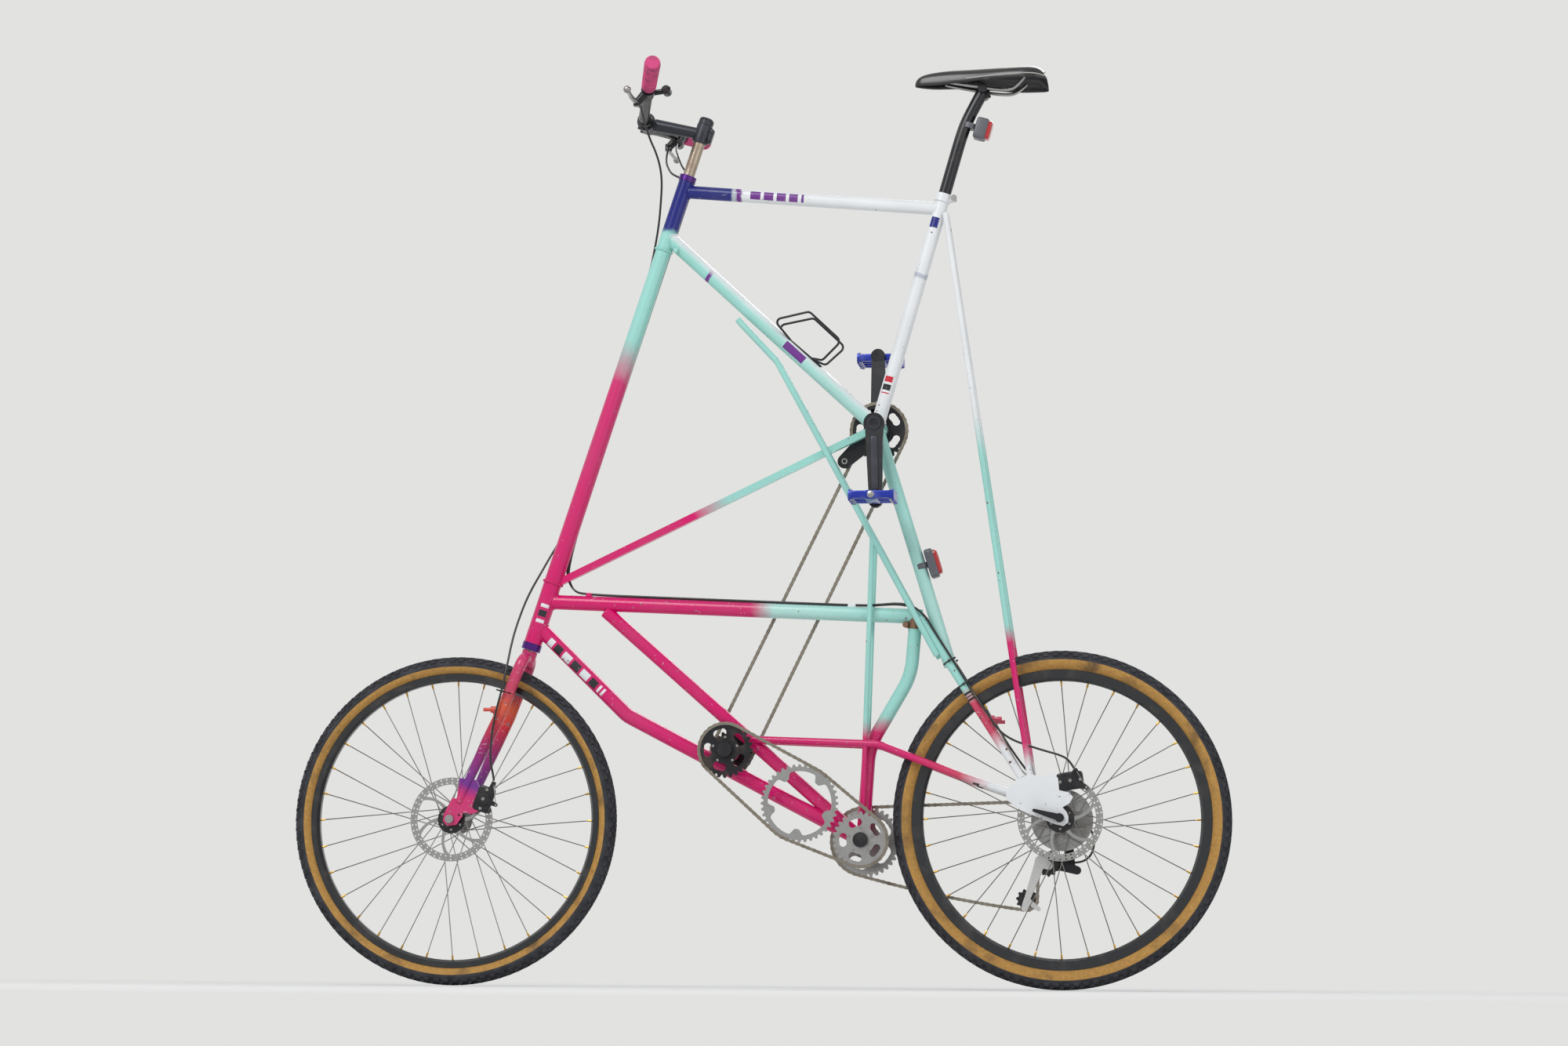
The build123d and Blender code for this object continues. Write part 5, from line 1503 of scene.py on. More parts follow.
@dataclass
class Cables:
    """All the cables and what ties them."""

    FRONT_HIGH = ((-885.0, 1832.0, -130.0), (-874.0, 1801.0, -64.0), (-870.0, 1762.0, -20.0),
                  (-876.0, 1702.0, 0.0),
                  (-881.0, 1655.0, 5.0))
    FRONT_LOW = ((-1127.0, 893.0, -8.0), (-1155.0, 840.0, -15.0), (-1174.0, 783.0, -25.0),
                 (-1184.0, 738.0, -37.0),
                 (-1190.0, 680.0, -57.0), (-1199.0, 627.0, -66.0), (-1207.0, 595.0, -68.0),
                 (-1214.0, 563.0, -68.0),
                 (-1218.0, 528.0, -68.0), (-1220.0, 494.0, -68.0), (-1219.0, 471.0, -66.0),
                 (-1214.0, 448.0, -62.0),
                 (-1213.0, 436.0, -60.0))
    BRAKE_LEAD = ((-890.0, 1838.0, 134.0), (-874.0, 1803.0, 84.0), (-856.0, 1779.0, 46.0))
    GEAR_LEAD = ((-866.0, 1862.0, 124.0), (-850.0, 1828.0, 76.0), (-834.0, 1792.0, 42.0))
    CLUSTER = ((-383.0, 817.0, 6.0), (-350.0, 819.0, 10.0), (-318.0, 814.0, 19.0), (-290.0, 793.0, 24.0))
    PAST_POST = ((-172.0, 606.0, 55.0), (-149.0, 574.0, 65.0))
    REAR_END = ((-130.0, 543.0, 63.0), (-102.0, 523.0, 58.0), (-68.0, 511.0, 54.0), (-30.0, 499.0, 57.0),
                (-1.0, 491.0, 62.0), (20.0, 480.0, 64.0), (30.0, 462.0, 64.0))
    GEAR_END = ((-126.0, 534.0, 68.0), (-98.0, 492.0, 74.0), (-70.0, 455.0, 80.0), (-40.0, 425.0, 86.0),
                (-8.0, 402.0, 92.0), (22.0, 384.0, 94.0), (46.0, 364.0, 92.0), (60.0, 338.0, 90.0),
                (66.0, 310.0, 88.0), (58.0, 284.0, 84.0), (38.0, 270.0, 82.0), (20.0, 270.0, 80.0))

    def routes(self, cockpit: Cockpit) -> list:
        """Every cable with its route.

        Args:
            cockpit: The bar with the levers that the cables start at.

        Returns:
            The cables.
        """
        starts = {}
        for side in (-1, 1):
            pivot = cockpit.along(side, cockpit.GRIP + 23.0) + np.array((-24.0, 0.0, -26.0)) * MM
            starts[side] = pivot + np.array((4.0, -side * 24.0, -3.0)) * MM
        pod = cockpit.along(1, cockpit.GRIP + 41.0) + np.array((8.0, -20.0, -22.0)) * MM
        front = [starts[-1], *(spot(*point) for point in self.FRONT_HIGH)]
        front += [beside_column(1594.0, 26.0, 24.0), beside_column(1552.0, 40.0),
                  beside_column(1320.0, 40.0)]
        front += [beside_column(1090.0, 40.0), beside_column(960.0, 40.0), beside_column(926.0, 12.0, 24.6)]
        front += [spot(*point) for point in self.FRONT_LOW]
        made = [Cable("front_brake_cover", "steering", front)]
        made.append(Cable("brake_lead", "steering", [
            starts[1], *(spot(*point) for point in self.BRAKE_LEAD), beside_column(1760.0, 102.0, 23.8),
        ]))
        made.append(Cable("gear_lead", "steering", [
            pod, *(spot(*point) for point in self.GEAR_LEAD), beside_column(1763.0, 118.0, 23.8),
        ]))
        for name, side, turn, corner, end in (
            ("rear_brake_cover", -1, 122.0, (-1062.0, 852.0, 7.0), self.REAR_END),
            ("gear_cover", 1, 106.0, (-1064.0, 853.0, 18.0), self.GEAR_END),
        ):
            route = [beside_column(height, turn) for height in (1757.0, 1450.0, 1180.0, 910.0)]
            route.append(spot(*corner))
            route += [over_top_tube(back, 4.0 * side) for back in (88.0, 290.0, 500.0, 700.0)]
            ending = [*self.CLUSTER, *self.PAST_POST]
            points = [spot(x, height, side * y) for x, height, y in ending]
            route += points[:4] + [under_seat_stay(side, 749.0), under_seat_stay(side, 690.0)]
            route += [under_seat_stay(side, 633.0)] + points[4:]
            route += [spot(x, height, side * y) for x, height, y in end]
            made.append(Cable(name, "frame", route))
        return made

    def tie(self, centre: np.ndarray, axis: np.ndarray, long: float, wide: float) -> Shape:
        """Zip tie: a flat band round an oval, with its square head.

        Args:
            centre: Its middle, in metres.
            axis: Direction of what it holds.
            long: Half length of the oval, in millimetres.
            wide: Half width of the oval.

        Returns:
            The tie.
        """
        along = unit(axis)
        aside = unit(np.cross(along, np.array((0.0, 1.0, 0.0))))
        across = np.cross(along, aside)
        angle = np.linspace(0.0, 2 * math.pi, 28, endpoint=False)[:, None]
        corners = []
        for grow, shift in ((0.0, -1.3), (1.1, -1.3), (1.1, 1.3), (0.0, 1.3)):
            ring = aside * np.cos(angle) * (long + grow) + across * np.sin(angle) * (wide + grow)
            corners.append(centre + (ring + along * shift) * MM)
        band = grid(np.stack(corners, axis=1), True, True)
        head = lump(centre + across * (wide + 1.5) * MM, np.array((along, aside, across)),
                    (2.4, 3.0, 2.2), 0.3, 8)
        return band + head

    def build(self, cockpit: Cockpit, cover: bpy.types.Material, tie: bpy.types.Material) -> None:
        """Makes the cables and the ties."""
        for cable in self.routes(cockpit):
            cable.build(cover)
        frame_ties = None
        stay_axis = spot(-80.0, 442.0) - spot(-300.0, 786.0)
        spots = [(under_seat_stay(side, height, 4.0), stay_axis, 14.5, 9.6) for side in (-1, 1)
                 for height in (690.0, 640.0)]
        for centre, axis, long, wide in spots:
            made = self.tie(centre, axis, long, wide)
            frame_ties = made if frame_ties is None else frame_ties + made
        frame_ties.piece("frame_ties", tie, "frame")
        blade_axis = spot(-1233.0, 518.0) - spot(-1200.0, 640.0)
        self.tie(spot(-1196.0, 628.0, -52.0), blade_axis, 16.5, 17.5).piece("fork_tie", tie, "steering")


@dataclass(frozen=True)
class Weld:
    """Bead where a round tube meets a round shell.

    Attributes:
        start: Place on the tube's axis inside the shell.
        end: Place on the tube's axis away from it.
        radius: Radius of the tube.
        shell_start: Point on the shell's axis, in metres.
        shell_axis: Its direction.
        shell_radius: Its radius.
        bead: Radius of the bead, in millimetres.
    """

    start: tuple
    end: tuple
    radius: float
    shell_start: np.ndarray
    shell_axis: np.ndarray
    shell_radius: float
    bead: float = 2.1

    def shape(self) -> Shape:
        """Bead along the line where the two surfaces meet.

        From each point of a circle round the tube's axis a straight line goes
        outwards along the tube, and it leaves the shell where the part of it
        square to the shell's axis is as long as the shell's radius. The bead's
        radius swells and shrinks in about 30 small waves.
        """
        start, end = spot(*self.start), spot(*self.end)
        along = unit(end - start)
        across = unit(np.cross(along, np.array((0.0, 1.0, 0.0))))
        upright = np.cross(along, across)
        angle = np.linspace(0.0, 2 * math.pi, 120, endpoint=False)[:, None]
        circle = start + (across * np.cos(angle) + upright * np.sin(angle)) * self.radius * MM
        axis = unit(np.asarray(self.shell_axis, dtype=float))
        away = circle - self.shell_start
        away = away - (away @ axis)[:, None] * axis
        flat = along - (along @ axis) * axis
        a = flat @ flat
        b = 2 * away @ flat
        c = np.sum(away * away, axis=1) - (self.shell_radius * MM) ** 2
        reach = (-b + np.sqrt(np.maximum(b * b - 4 * a * c, 0.0))) / (2 * a)
        path = circle + along * reach[:, None]
        ripple = 1 + 0.16 * np.sin(30 * angle[:, 0]) + 0.10 * np.sin(7 * angle[:, 0] + 1.3)
        return tube(path, self.bead * MM * ripple, 8, True)


@dataclass
class Welds:
    """Weld beads of the frame, grouped by the paint that covers them."""

    def build(self, paints: dict) -> None:
        """Makes the beads round the tubes' ends.

        Args:
            paints: The finish of each painted node.
        """
        head, up = spot(*column(1000.0)), spot(*column(1700.0)) - spot(*column(1000.0))
        side = np.array((0.0, 1.0, 0.0))
        lower_top, lower_top_end = column(828.0), (-312.0, 791.0)
        groups = {
            "upper_top_tube": [Weld(column(1732.0), (-259.9, 1681.0), 14.3, head, up, 17.0)],
            "upper_down_tube": [
                Weld(column(1631.0), UPPER_BRACKET, 15.9, head, up, 17.0),
                Weld(UPPER_BRACKET, column(1631.0), 15.9, spot(*UPPER_BRACKET), side, SHELL_R),
            ],
            "lower_top_tube": [Weld(lower_top, lower_top_end, 15.9, head, up, 19.5)],
            "lower_down_tube": [
                Weld(column(774.0), (-935.0, 580.0), 15.9, head, up, 19.5),
                Weld(LOWER_BRACKET, (-935.0, 580.0), 15.9, spot(*LOWER_BRACKET), side, SHELL_R),
            ],
            "upper_seat_tube": [Weld(UPPER_BRACKET, (-251.0, 1712.0), 15.1, spot(*UPPER_BRACKET), side,
                                     SHELL_R)],
            "seat_extension_tube": [Weld(UPPER_BRACKET, (-236.0, 684.0), 14.3, spot(*UPPER_BRACKET), side,
                                         SHELL_R)],
            "jackshaft_strut": [Weld(LOWER_BRACKET, (-985.0, 806.0), 14.3, spot(*LOWER_BRACKET), side,
                                     SHELL_R)],
        }
        for node, welds in groups.items():
            made = None
            for weld in welds:
                made = weld.shape() if made is None else made + weld.shape()
            made.piece(node + "_weld", paints[node], "frame", 60.0)
        rings = None
        for height, radius in ((869.0, 20.6), (1601.0, 18.2)):
            ring = self.collar(height, radius)
            rings = ring if rings is None else rings + ring
        rings.piece("column_welds", paints["head_column"], "frame", 60.0)

    def collar(self, height: float, radius: float) -> Shape:
        """Lumpy bead round the column at a height.

        Args:
            height: Height above the ground, in millimetres.
            radius: Radius of its middle line.

        Returns:
            The bead.
        """
        angle = np.linspace(0.0, 2 * math.pi, 160, endpoint=False)
        ring = np.array([beside_column(height, math.degrees(turn), radius) for turn in angle])
        ripple = 1 + 0.20 * np.sin(34 * angle) + 0.12 * np.sin(9 * angle + 0.4)
        return tube(ring, 2.4 * MM * ripple, 8, True)


@dataclass
class SmallParts:
    """Calipers, lights, quick lever, derailleur cage and bolts that show from a step away."""

    FRONT_CALIPER = (-1235.0, 397.0)
    REAR_CALIPER = (22.0, 436.0)

    def caliper(self, place: tuple, y_out: float, turn: float, arm_tip: tuple,
                stop: tuple) -> tuple[Shape, Shape]:
        """Caliper with its round piston cap, cable arm and cable stop, and its bright bolts.

        Args:
            place: Its middle.
            y_out: Its outer side.
            turn: Lean of its body in degrees.
            arm_tip: Tip of the cable arm.
            stop: Where the cable's cover ends.

        Returns:
            The dark castings and the bright bolts.
        """
        angle = math.radians(turn)
        axes = np.array(((math.cos(angle), 0, math.sin(angle)), (0, 1, 0),
                         (-math.sin(angle), 0, math.cos(angle))))
        dark = lump(spot(*place, y_out + 4.0), axes, (28.0, 7.0, 19.0), 0.32)
        dark = dark + disc(place, y_out - 6.0, y_out + 2.0, 15.0)
        dark = dark + plate(link_outline(place, arm_tip, 8.5, 4.0), y_out - 9.0, y_out - 6.0)
        dark = dark + plate(link_outline(place, stop, 6.0, 4.5), y_out - 3.0, y_out + 1.0)
        dark = dark + disc(stop, y_out - 8.0, y_out + 1.0, 4.4, 14)
        reach = 21.0
        ends = [
            (place[0] + sign * reach * math.cos(angle), place[1] + sign * reach * math.sin(angle))
            for sign in (-1, 1)
        ]
        bright = (bolts(ends, y_out - 2.6, 1.1) + bolts([place], y_out - 8.8, 1.1)
                  + bolts([arm_tip], y_out - 8.8, 0.8))
        bright = bright + rod(spot(*stop, y_out - 7.0), spot(*arm_tip, y_out - 8.0), 0.8, sides=8)
        return dark, bright

    def light(self, middle: tuple, lean: float, long: float, deep: float) -> tuple[Shape, Shape]:
        """Rear light: a soft-cornered body, and a red lens that stands out behind it.

        Args:
            middle: Its place.
            lean: Lean of its tube from upright, in degrees.
            long: Its length along the tube.
            deep: Its depth.

        Returns:
            The body and the lens.
        """
        angle = math.radians(lean)
        up = np.array((math.sin(angle), 0.0, math.cos(angle)))
        back = np.array((math.cos(angle), 0.0, -math.sin(angle)))
        axes = np.array((back, (0.0, 1.0, 0.0), up))
        body = lump(spot(*middle), axes, (deep / 2, 18.0, long / 2), 0.3)
        band = rod(spot(*middle) - back * (deep / 2 + 13.0) * MM - up * 0.006,
                   spot(*middle) - back * (deep / 2 + 13.0) * MM
                   + up * 0.006, 16.0)
        lens = lump(spot(*middle) + back * (deep / 2) * MM, axes, (8.5, 15.5, 0.42 * long), 0.4)
        return body + band, lens

    def lens_finish(self) -> bpy.types.Material:
        """Red lens with fine ribs and a hard gloss."""
        graph = Graph("lens_red", roughness=0.12, coat=0.6)
        graph.colour(graph.mix(graph.noise(500.0), srgb(150, 8, 14), srgb(220, 26, 30)))
        graph.shader.inputs["Transmission Weight"].default_value = 0.15
        graph.bump(graph.noise(900.0, 1.0, (1.0, 1.0, 0.1)), 0.4, 0.0004)
        return graph.material

    def cage(self) -> Shape:
        """Derailleur cage: two hooked plates that carry the pulleys."""
        hook = (GUIDE_PULLEY[0] - 17.0, GUIDE_PULLEY[1] + 9.0)
        tail = (TENSION_PULLEY[0] - 4.0, TENSION_PULLEY[1] - 17.0)
        corner = (TENSION_PULLEY[0] + 24.0, TENSION_PULLEY[1] - 19.0)
        made = None
        for low in (RING_Y - 6.6, RING_Y + 4.6):
            for step, (first, second, first_r, second_r) in enumerate((
                (hook, TENSION_PULLEY, 11.5, 6.2), (hook, GUIDE_PULLEY, 12.5, 9.0),
                (TENSION_PULLEY, tail, 6.8, 8.0), (TENSION_PULLEY, corner, 6.5, 4.5),
            )):
                part = plate(link_outline(first, second, first_r, second_r), low + 0.2 * step,
                             low + 1.3 + 0.2 * step)
                made = part if made is None else made + part
        return made

    def pulley(self, place: tuple) -> Shape:
        """Pulley with eleven teeth: its radius is a wave of the angle.

        Args:
            place: Place of its axle.

        Returns:
            The pulley.
        """
        angle = np.linspace(0.0, 2 * math.pi, 88, endpoint=False)
        radius = 21.5 + 2.4 * np.sin(11 * angle)
        outline = [(place[0] + r * math.cos(a), place[1] + r * math.sin(a)) for r, a in zip(radius, angle)]
        return plate(outline, RING_Y - 1.0, RING_Y + 1.0) + disc(place, RING_Y - 4.6, RING_Y + 4.6, 5.0)

    def changer(self) -> Shape:
        """Derailleur body: hanger, slanted link and cage pivot."""
        hanger = plate(link_outline((4.0, 350.0), (16.0, 262.0), 13.0, 9.0), 73.5, 78.0)
        body = plate(link_outline((-18.0, 268.0), (29.0, 253.0), 13.0, 9.0), 62.0, 74.0)
        return hanger + body + disc(GUIDE_PULLEY, RING_Y + 6.6, 74.0, 10.0)

    def build(self, finish: dict) -> None:
        """Makes the small parts and hides the plain ones.

        Args:
            finish: The finishes by name.
        """
        front, front_bolts = self.caliper(self.FRONT_CALIPER, -56.0, 70.0, (-1207.0, 384.0),
                                          (-1213.0, 430.0))
        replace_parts(front.piece("front_caliper_body", finish["dark"], "steering"), "front_caliper")
        front_bolts.piece("front_caliper_bolts", finish["steel"], "steering")
        rear, rear_bolts = self.caliper(self.REAR_CALIPER, -68.0, 8.0, (56.0, 422.0), (34.0, 458.0))
        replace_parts(rear.piece("rear_caliper_body", finish["dark"], "frame"), "rear_caliper")
        rear_bolts.piece("rear_caliper_bolts", finish["steel"], "frame")
        high, high_lens = self.light((-170.0, 1856.0), 15.8, 48.0, 28.0)
        low, low_lens = self.light((-276.0, 905.0), -17.2, 64.0, 20.0)
        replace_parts((high + low).piece("light_bodies", finish["grey"], "frame"), "rear_lights")
        (high_lens + low_lens).piece("light_lenses", self.lens_finish(), "frame")
        lever = plate(link_outline(REAR_CENTRE, (-53.0, 373.0), 7.5, 3.5), -86.0, -81.0)
        (lever + disc(REAR_CENTRE, -84.0, -73.5, 9.5)).piece("quick_lever", finish["dark"], "frame")
        pulleys = self.pulley(GUIDE_PULLEY) + self.pulley(TENSION_PULLEY)
        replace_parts(self.cage().piece("derailleur_cage", finish["white_metal"], "frame"), "derailleur")
        pulleys.piece("derailleur_pulleys", finish["dark"], "frame")
        self.changer().piece("derailleur_body", finish["dark"], "frame")
        roller = disc(IDLER, 34.0, 50.0, 6.0) + disc(IDLER, 43.0, 47.0, 11.5)
        roller.piece("idler_roller", finish["steel"], "frame")
        ring_angle = np.radians(18.0 + 72.0 * np.arange(5))
        for name, centre, radius, body in (
            ("jackshaft_bolts", JACKSHAFT, 27.0, "jackshaft_body"),
            ("lower_axle_bolts", LOWER_BRACKET, 27.0, "lower_axle_body"),
        ):
            places = [(centre[0] + radius * math.cos(a), centre[1] + radius * math.sin(a))
                      for a in ring_angle]
            bolts(places, -RING_Y - 1.1, 0.9).piece(name, finish["steel"], body)
        for place, body in ((JACKSHAFT, "jackshaft_body"), (LOWER_BRACKET, "lower_axle_body")):
            disc(place, -RING_Y - 12.0, -RING_Y - 1.0, 16.0).piece(
                body.replace("body", "nut"), finish["dark"], body)


@dataclass
class GhostRing:
    """Loose toothed ring that the near chain holds up, with five lugs on its inner side."""

    TEETH = 40
    TOOTH = 3.0
    BAND_R = 68.5
    LUG = 14.0
    LUG_ANGLES = 5
    FIRST = 48.0
    THICK = 2.4

    def build(self, finish: bpy.types.Material) -> None:
        """Makes the ring and hides the plain one.

        Outside, the radius is the pitch radius plus a flattened wave with one
        crest for each tooth. Inside, it is the band's radius less five smooth
        pulses, the lugs.

        Args:
            finish: Finish of the piece.
        """
        angle = np.linspace(0.0, 2 * math.pi, 16 * self.TEETH, endpoint=False)
        outer = pitch_radius(self.TEETH) - 0.5 + self.TOOTH * np.tanh(1.8 * np.cos(self.TEETH * angle))
        step = 2 * math.pi / self.LUG_ANGLES
        away = (angle - math.radians(self.FIRST) + step / 2) % step - step / 2
        inner = self.BAND_R - self.LUG * np.exp(-(away / 0.17) ** 4)
        rows = []
        for radius, side in ((outer, -1), (outer, 1), (inner, 1), (inner, -1)):
            rows.append(np.stack((
                radius * np.cos(angle), np.full(len(angle), -RING_Y + side * self.THICK / 2),
                radius * np.sin(angle),
            ), axis=1))
        shape = grid(spot(*GHOST_CENTRE) + np.stack(rows) * MM, True, True)
        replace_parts(shape.piece("lugged_ghost_ring", finish, "ghost_ring_body", 30.0), "ghost_ring")
        turns = math.radians(self.FIRST) + step * np.arange(self.LUG_ANGLES)
        places = [(GHOST_CENTRE[0] + 60.0 * math.cos(a), GHOST_CENTRE[1] + 60.0 * math.sin(a))
                  for a in turns]
        pads = None
        for place in places:
            pad = disc(place, -RING_Y - 1.7, -RING_Y + 1.7, 4.6, 16)
            pads = pad if pads is None else pads + pad
        pads.piece("ghost_ring_pads", finish, "ghost_ring_body")


@dataclass
class Cranks:
    """Ribs and eye rings of the crank arms, and the two studded pedals.

    Attributes:
        reach: Length of a crank arm.
        angle: Angle of the left arm in degrees.
    """

    reach: float = 170.0
    angle: float = -88.0

    PEDAL_Y = 132.0

    def end(self, side: int) -> tuple[float, float]:
        """Place of the pedal's spindle on the left (-1) or the right (1)."""
        turn = math.radians(self.angle + (180.0 if side > 0 else 0.0))
        return UPPER_BRACKET[0] + self.reach * math.cos(turn), UPPER_BRACKET[1] + self.reach * math.sin(turn)

    def trim(self, side: int) -> tuple[Shape, Shape]:
        """Raised rib and eye ring on the outside of an arm, and its bright caps.

        Args:
            side: 1 for the right arm and -1 for the left.

        Returns:
            The dark shape and the bright one.
        """
        eye = spot(*UPPER_BRACKET, side * 63.0)
        tip = spot(*self.end(side), side * 81.0)
        along = unit(tip - eye)
        across = unit(np.cross(along, np.array((0.0, 1.0, 0.0))))
        axes = np.array((along, across, np.cross(along, across)))
        dark = lump(eye + 0.52 * (tip - eye), axes, (60.0, 7.5, 2.6), 0.22, 16)
        dark = dark + turned(np.array([
            (side * 62.0, 9.0), (side * 62.0, 16.5), (side * 66.0, 15.5), (side * 66.0, 9.0),
        ]), UPPER_BRACKET, 40)
        bright = disc(self.end(side), side * 80.0, side * 83.0, 6.0, 18)
        return dark, bright

    def pedal(self, side: int) -> tuple[Shape, Shape]:
        """Platform with bars, ribs and a spindle barrel, and its bright studs and cap.

        Args:
            side: 1 for the right pedal and -1 for the left.

        Returns:
            The blue shape and the bright one.
        """
        x, height = self.end(side)
        middle = spot(x, height, side * self.PEDAL_Y)
        boxes = [((0.0, 0.0), (14.0, 45.0, 10.0)), ((43.0, 0.0), (6.5, 45.0, 10.0)),
                 ((-43.0, 0.0), (6.5, 45.0, 10.0))]
        boxes += [((0.0, y), (47.0, half, 8.0))
                  for y, half in ((-40.0, 5.5), (40.0, 5.5), (-13.0, 2.6), (13.0, 2.6))]
        boxes += [((sign * 46.0, y), (3.2, 5.0, 12.0)) for sign in (-1, 1)
                  for y in (-30.0, -10.0, 10.0, 30.0)]
        blue = None
        for (along, aside), halves in boxes:
            part = lump(middle + np.array((along, aside, 0.0)) * MM, UPRIGHT, halves, 0.25, 10)
            blue = part if blue is None else blue + part
        studs = disc((x, height), side * (self.PEDAL_Y + 43.0), side * (self.PEDAL_Y + 46.0), 7.5, 20)
        for sign in (-1, 1):
            for y in (-36.0, -12.0, 12.0, 36.0):
                foot = middle + np.array((sign * 42.0, y, 0.0)) * MM
                studs = studs + rod(foot - (0, 0, 0.0128), foot + (0, 0, 0.0128), 1.9, sides=8)
        return blue, studs

    def build(self, finish: dict) -> None:
        """Makes the trims and pedals and hides the plain pedals."""
        for side, label in ((-1, "left"), (1, "right")):
            dark, bright = self.trim(side)
            dark.piece(label + "_crank_rib", finish["satin"], "crank")
            bright.piece(label + "_crank_cap", finish["steel"], "crank")
            blue, studs = self.pedal(side)
            piece = blue.piece(label + "_platform", finish["pedal"], label + "_pedal_body")
            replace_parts(piece, label + "_pedal")
            studs.piece(label + "_pedal_studs", finish["steel"], label + "_pedal_body")


@dataclass
class FrameFittings:
    """Clamps, cable stops and bosses on the frame's tubes."""

    def build(self, paints: dict, finish: dict) -> None:
        """Makes the fittings.

        Args:
            paints: Paint of each painted node.
            finish: The plain finishes by name.
        """
        binder = rod(spot(-229.0, 1702.0, -13.0), spot(-229.0, 1702.0, 13.0), 4.6) + rod(
            spot(-229.0, 1702.0, -16.0), spot(-229.0, 1702.0, -12.0), 6.6)
        binder.piece("seat_binder", finish["steel"], "frame")
        ears = lump(spot(-236.0, 1703.0), UPRIGHT, (9.0, 9.5, 8.0), 0.3, 12)
        ears.piece("seat_ears", paints["upper_seat_tube"], "frame")
        collar = rod(spot(-312.4, 764.0), spot(-310.2, 786.0), 16.8, sides=36)
        bolt = rod(spot(-331.0, 772.0, -15.0), spot(-331.0, 772.0, 15.0), 4.4) + rod(
            spot(-331.0, 772.0, -18.0), spot(-331.0, 772.0, -14.0), 6.4)
        (collar + bolt).piece("rusty_clamp", finish["rusty"], "frame")
        low = unit(over_top_tube(500.0, 0.0) - over_top_tube(100.0, 0.0))
        axes = np.array((low, (0.0, 1.0, 0.0), np.cross(low, np.array((0.0, 1.0, 0.0)))))
        pink = lump(over_top_tube(93.0, 0.0) - (0.0, 0.0, 0.001), axes, (6.5, 9.0, 5.0), 0.35, 12)
        pink.piece("pink_cable_clip", paints["lower_down_tube"], "frame")
        white = lump(over_top_tube(668.0, 0.0) - (0.0, 0.0, 0.001), axes, (9.0, 8.0, 4.6), 0.35, 12)
        white.piece("white_cable_stop", paints["rear_dropouts"], "frame")
        boss = rod(spot(-838.0, 1598.0, -13.0), spot(-838.0, 1598.0, -21.0), 5.4) + rod(
            spot(-838.0, 1598.0, 13.0), spot(-838.0, 1598.0, 21.0), 5.4)
        boss.piece("shift_bosses", paints["upper_down_tube"], "frame")
        arm = plate(link_outline(IDLER, UPPER_BRACKET, 15.5, 24.0), 33.6, 38.4)
        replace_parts(arm.piece("idler_arm", finish["dark"], "frame"), "chain_idler")
        ring = turned(np.array([(38.0, 4.0), (38.0, 7.5), (33.0, 7.5), (31.6, 6.5), (31.6, 4.0)]), IDLER,
                      32)
        ring.piece("idler_ring", finish["steel"], "frame")


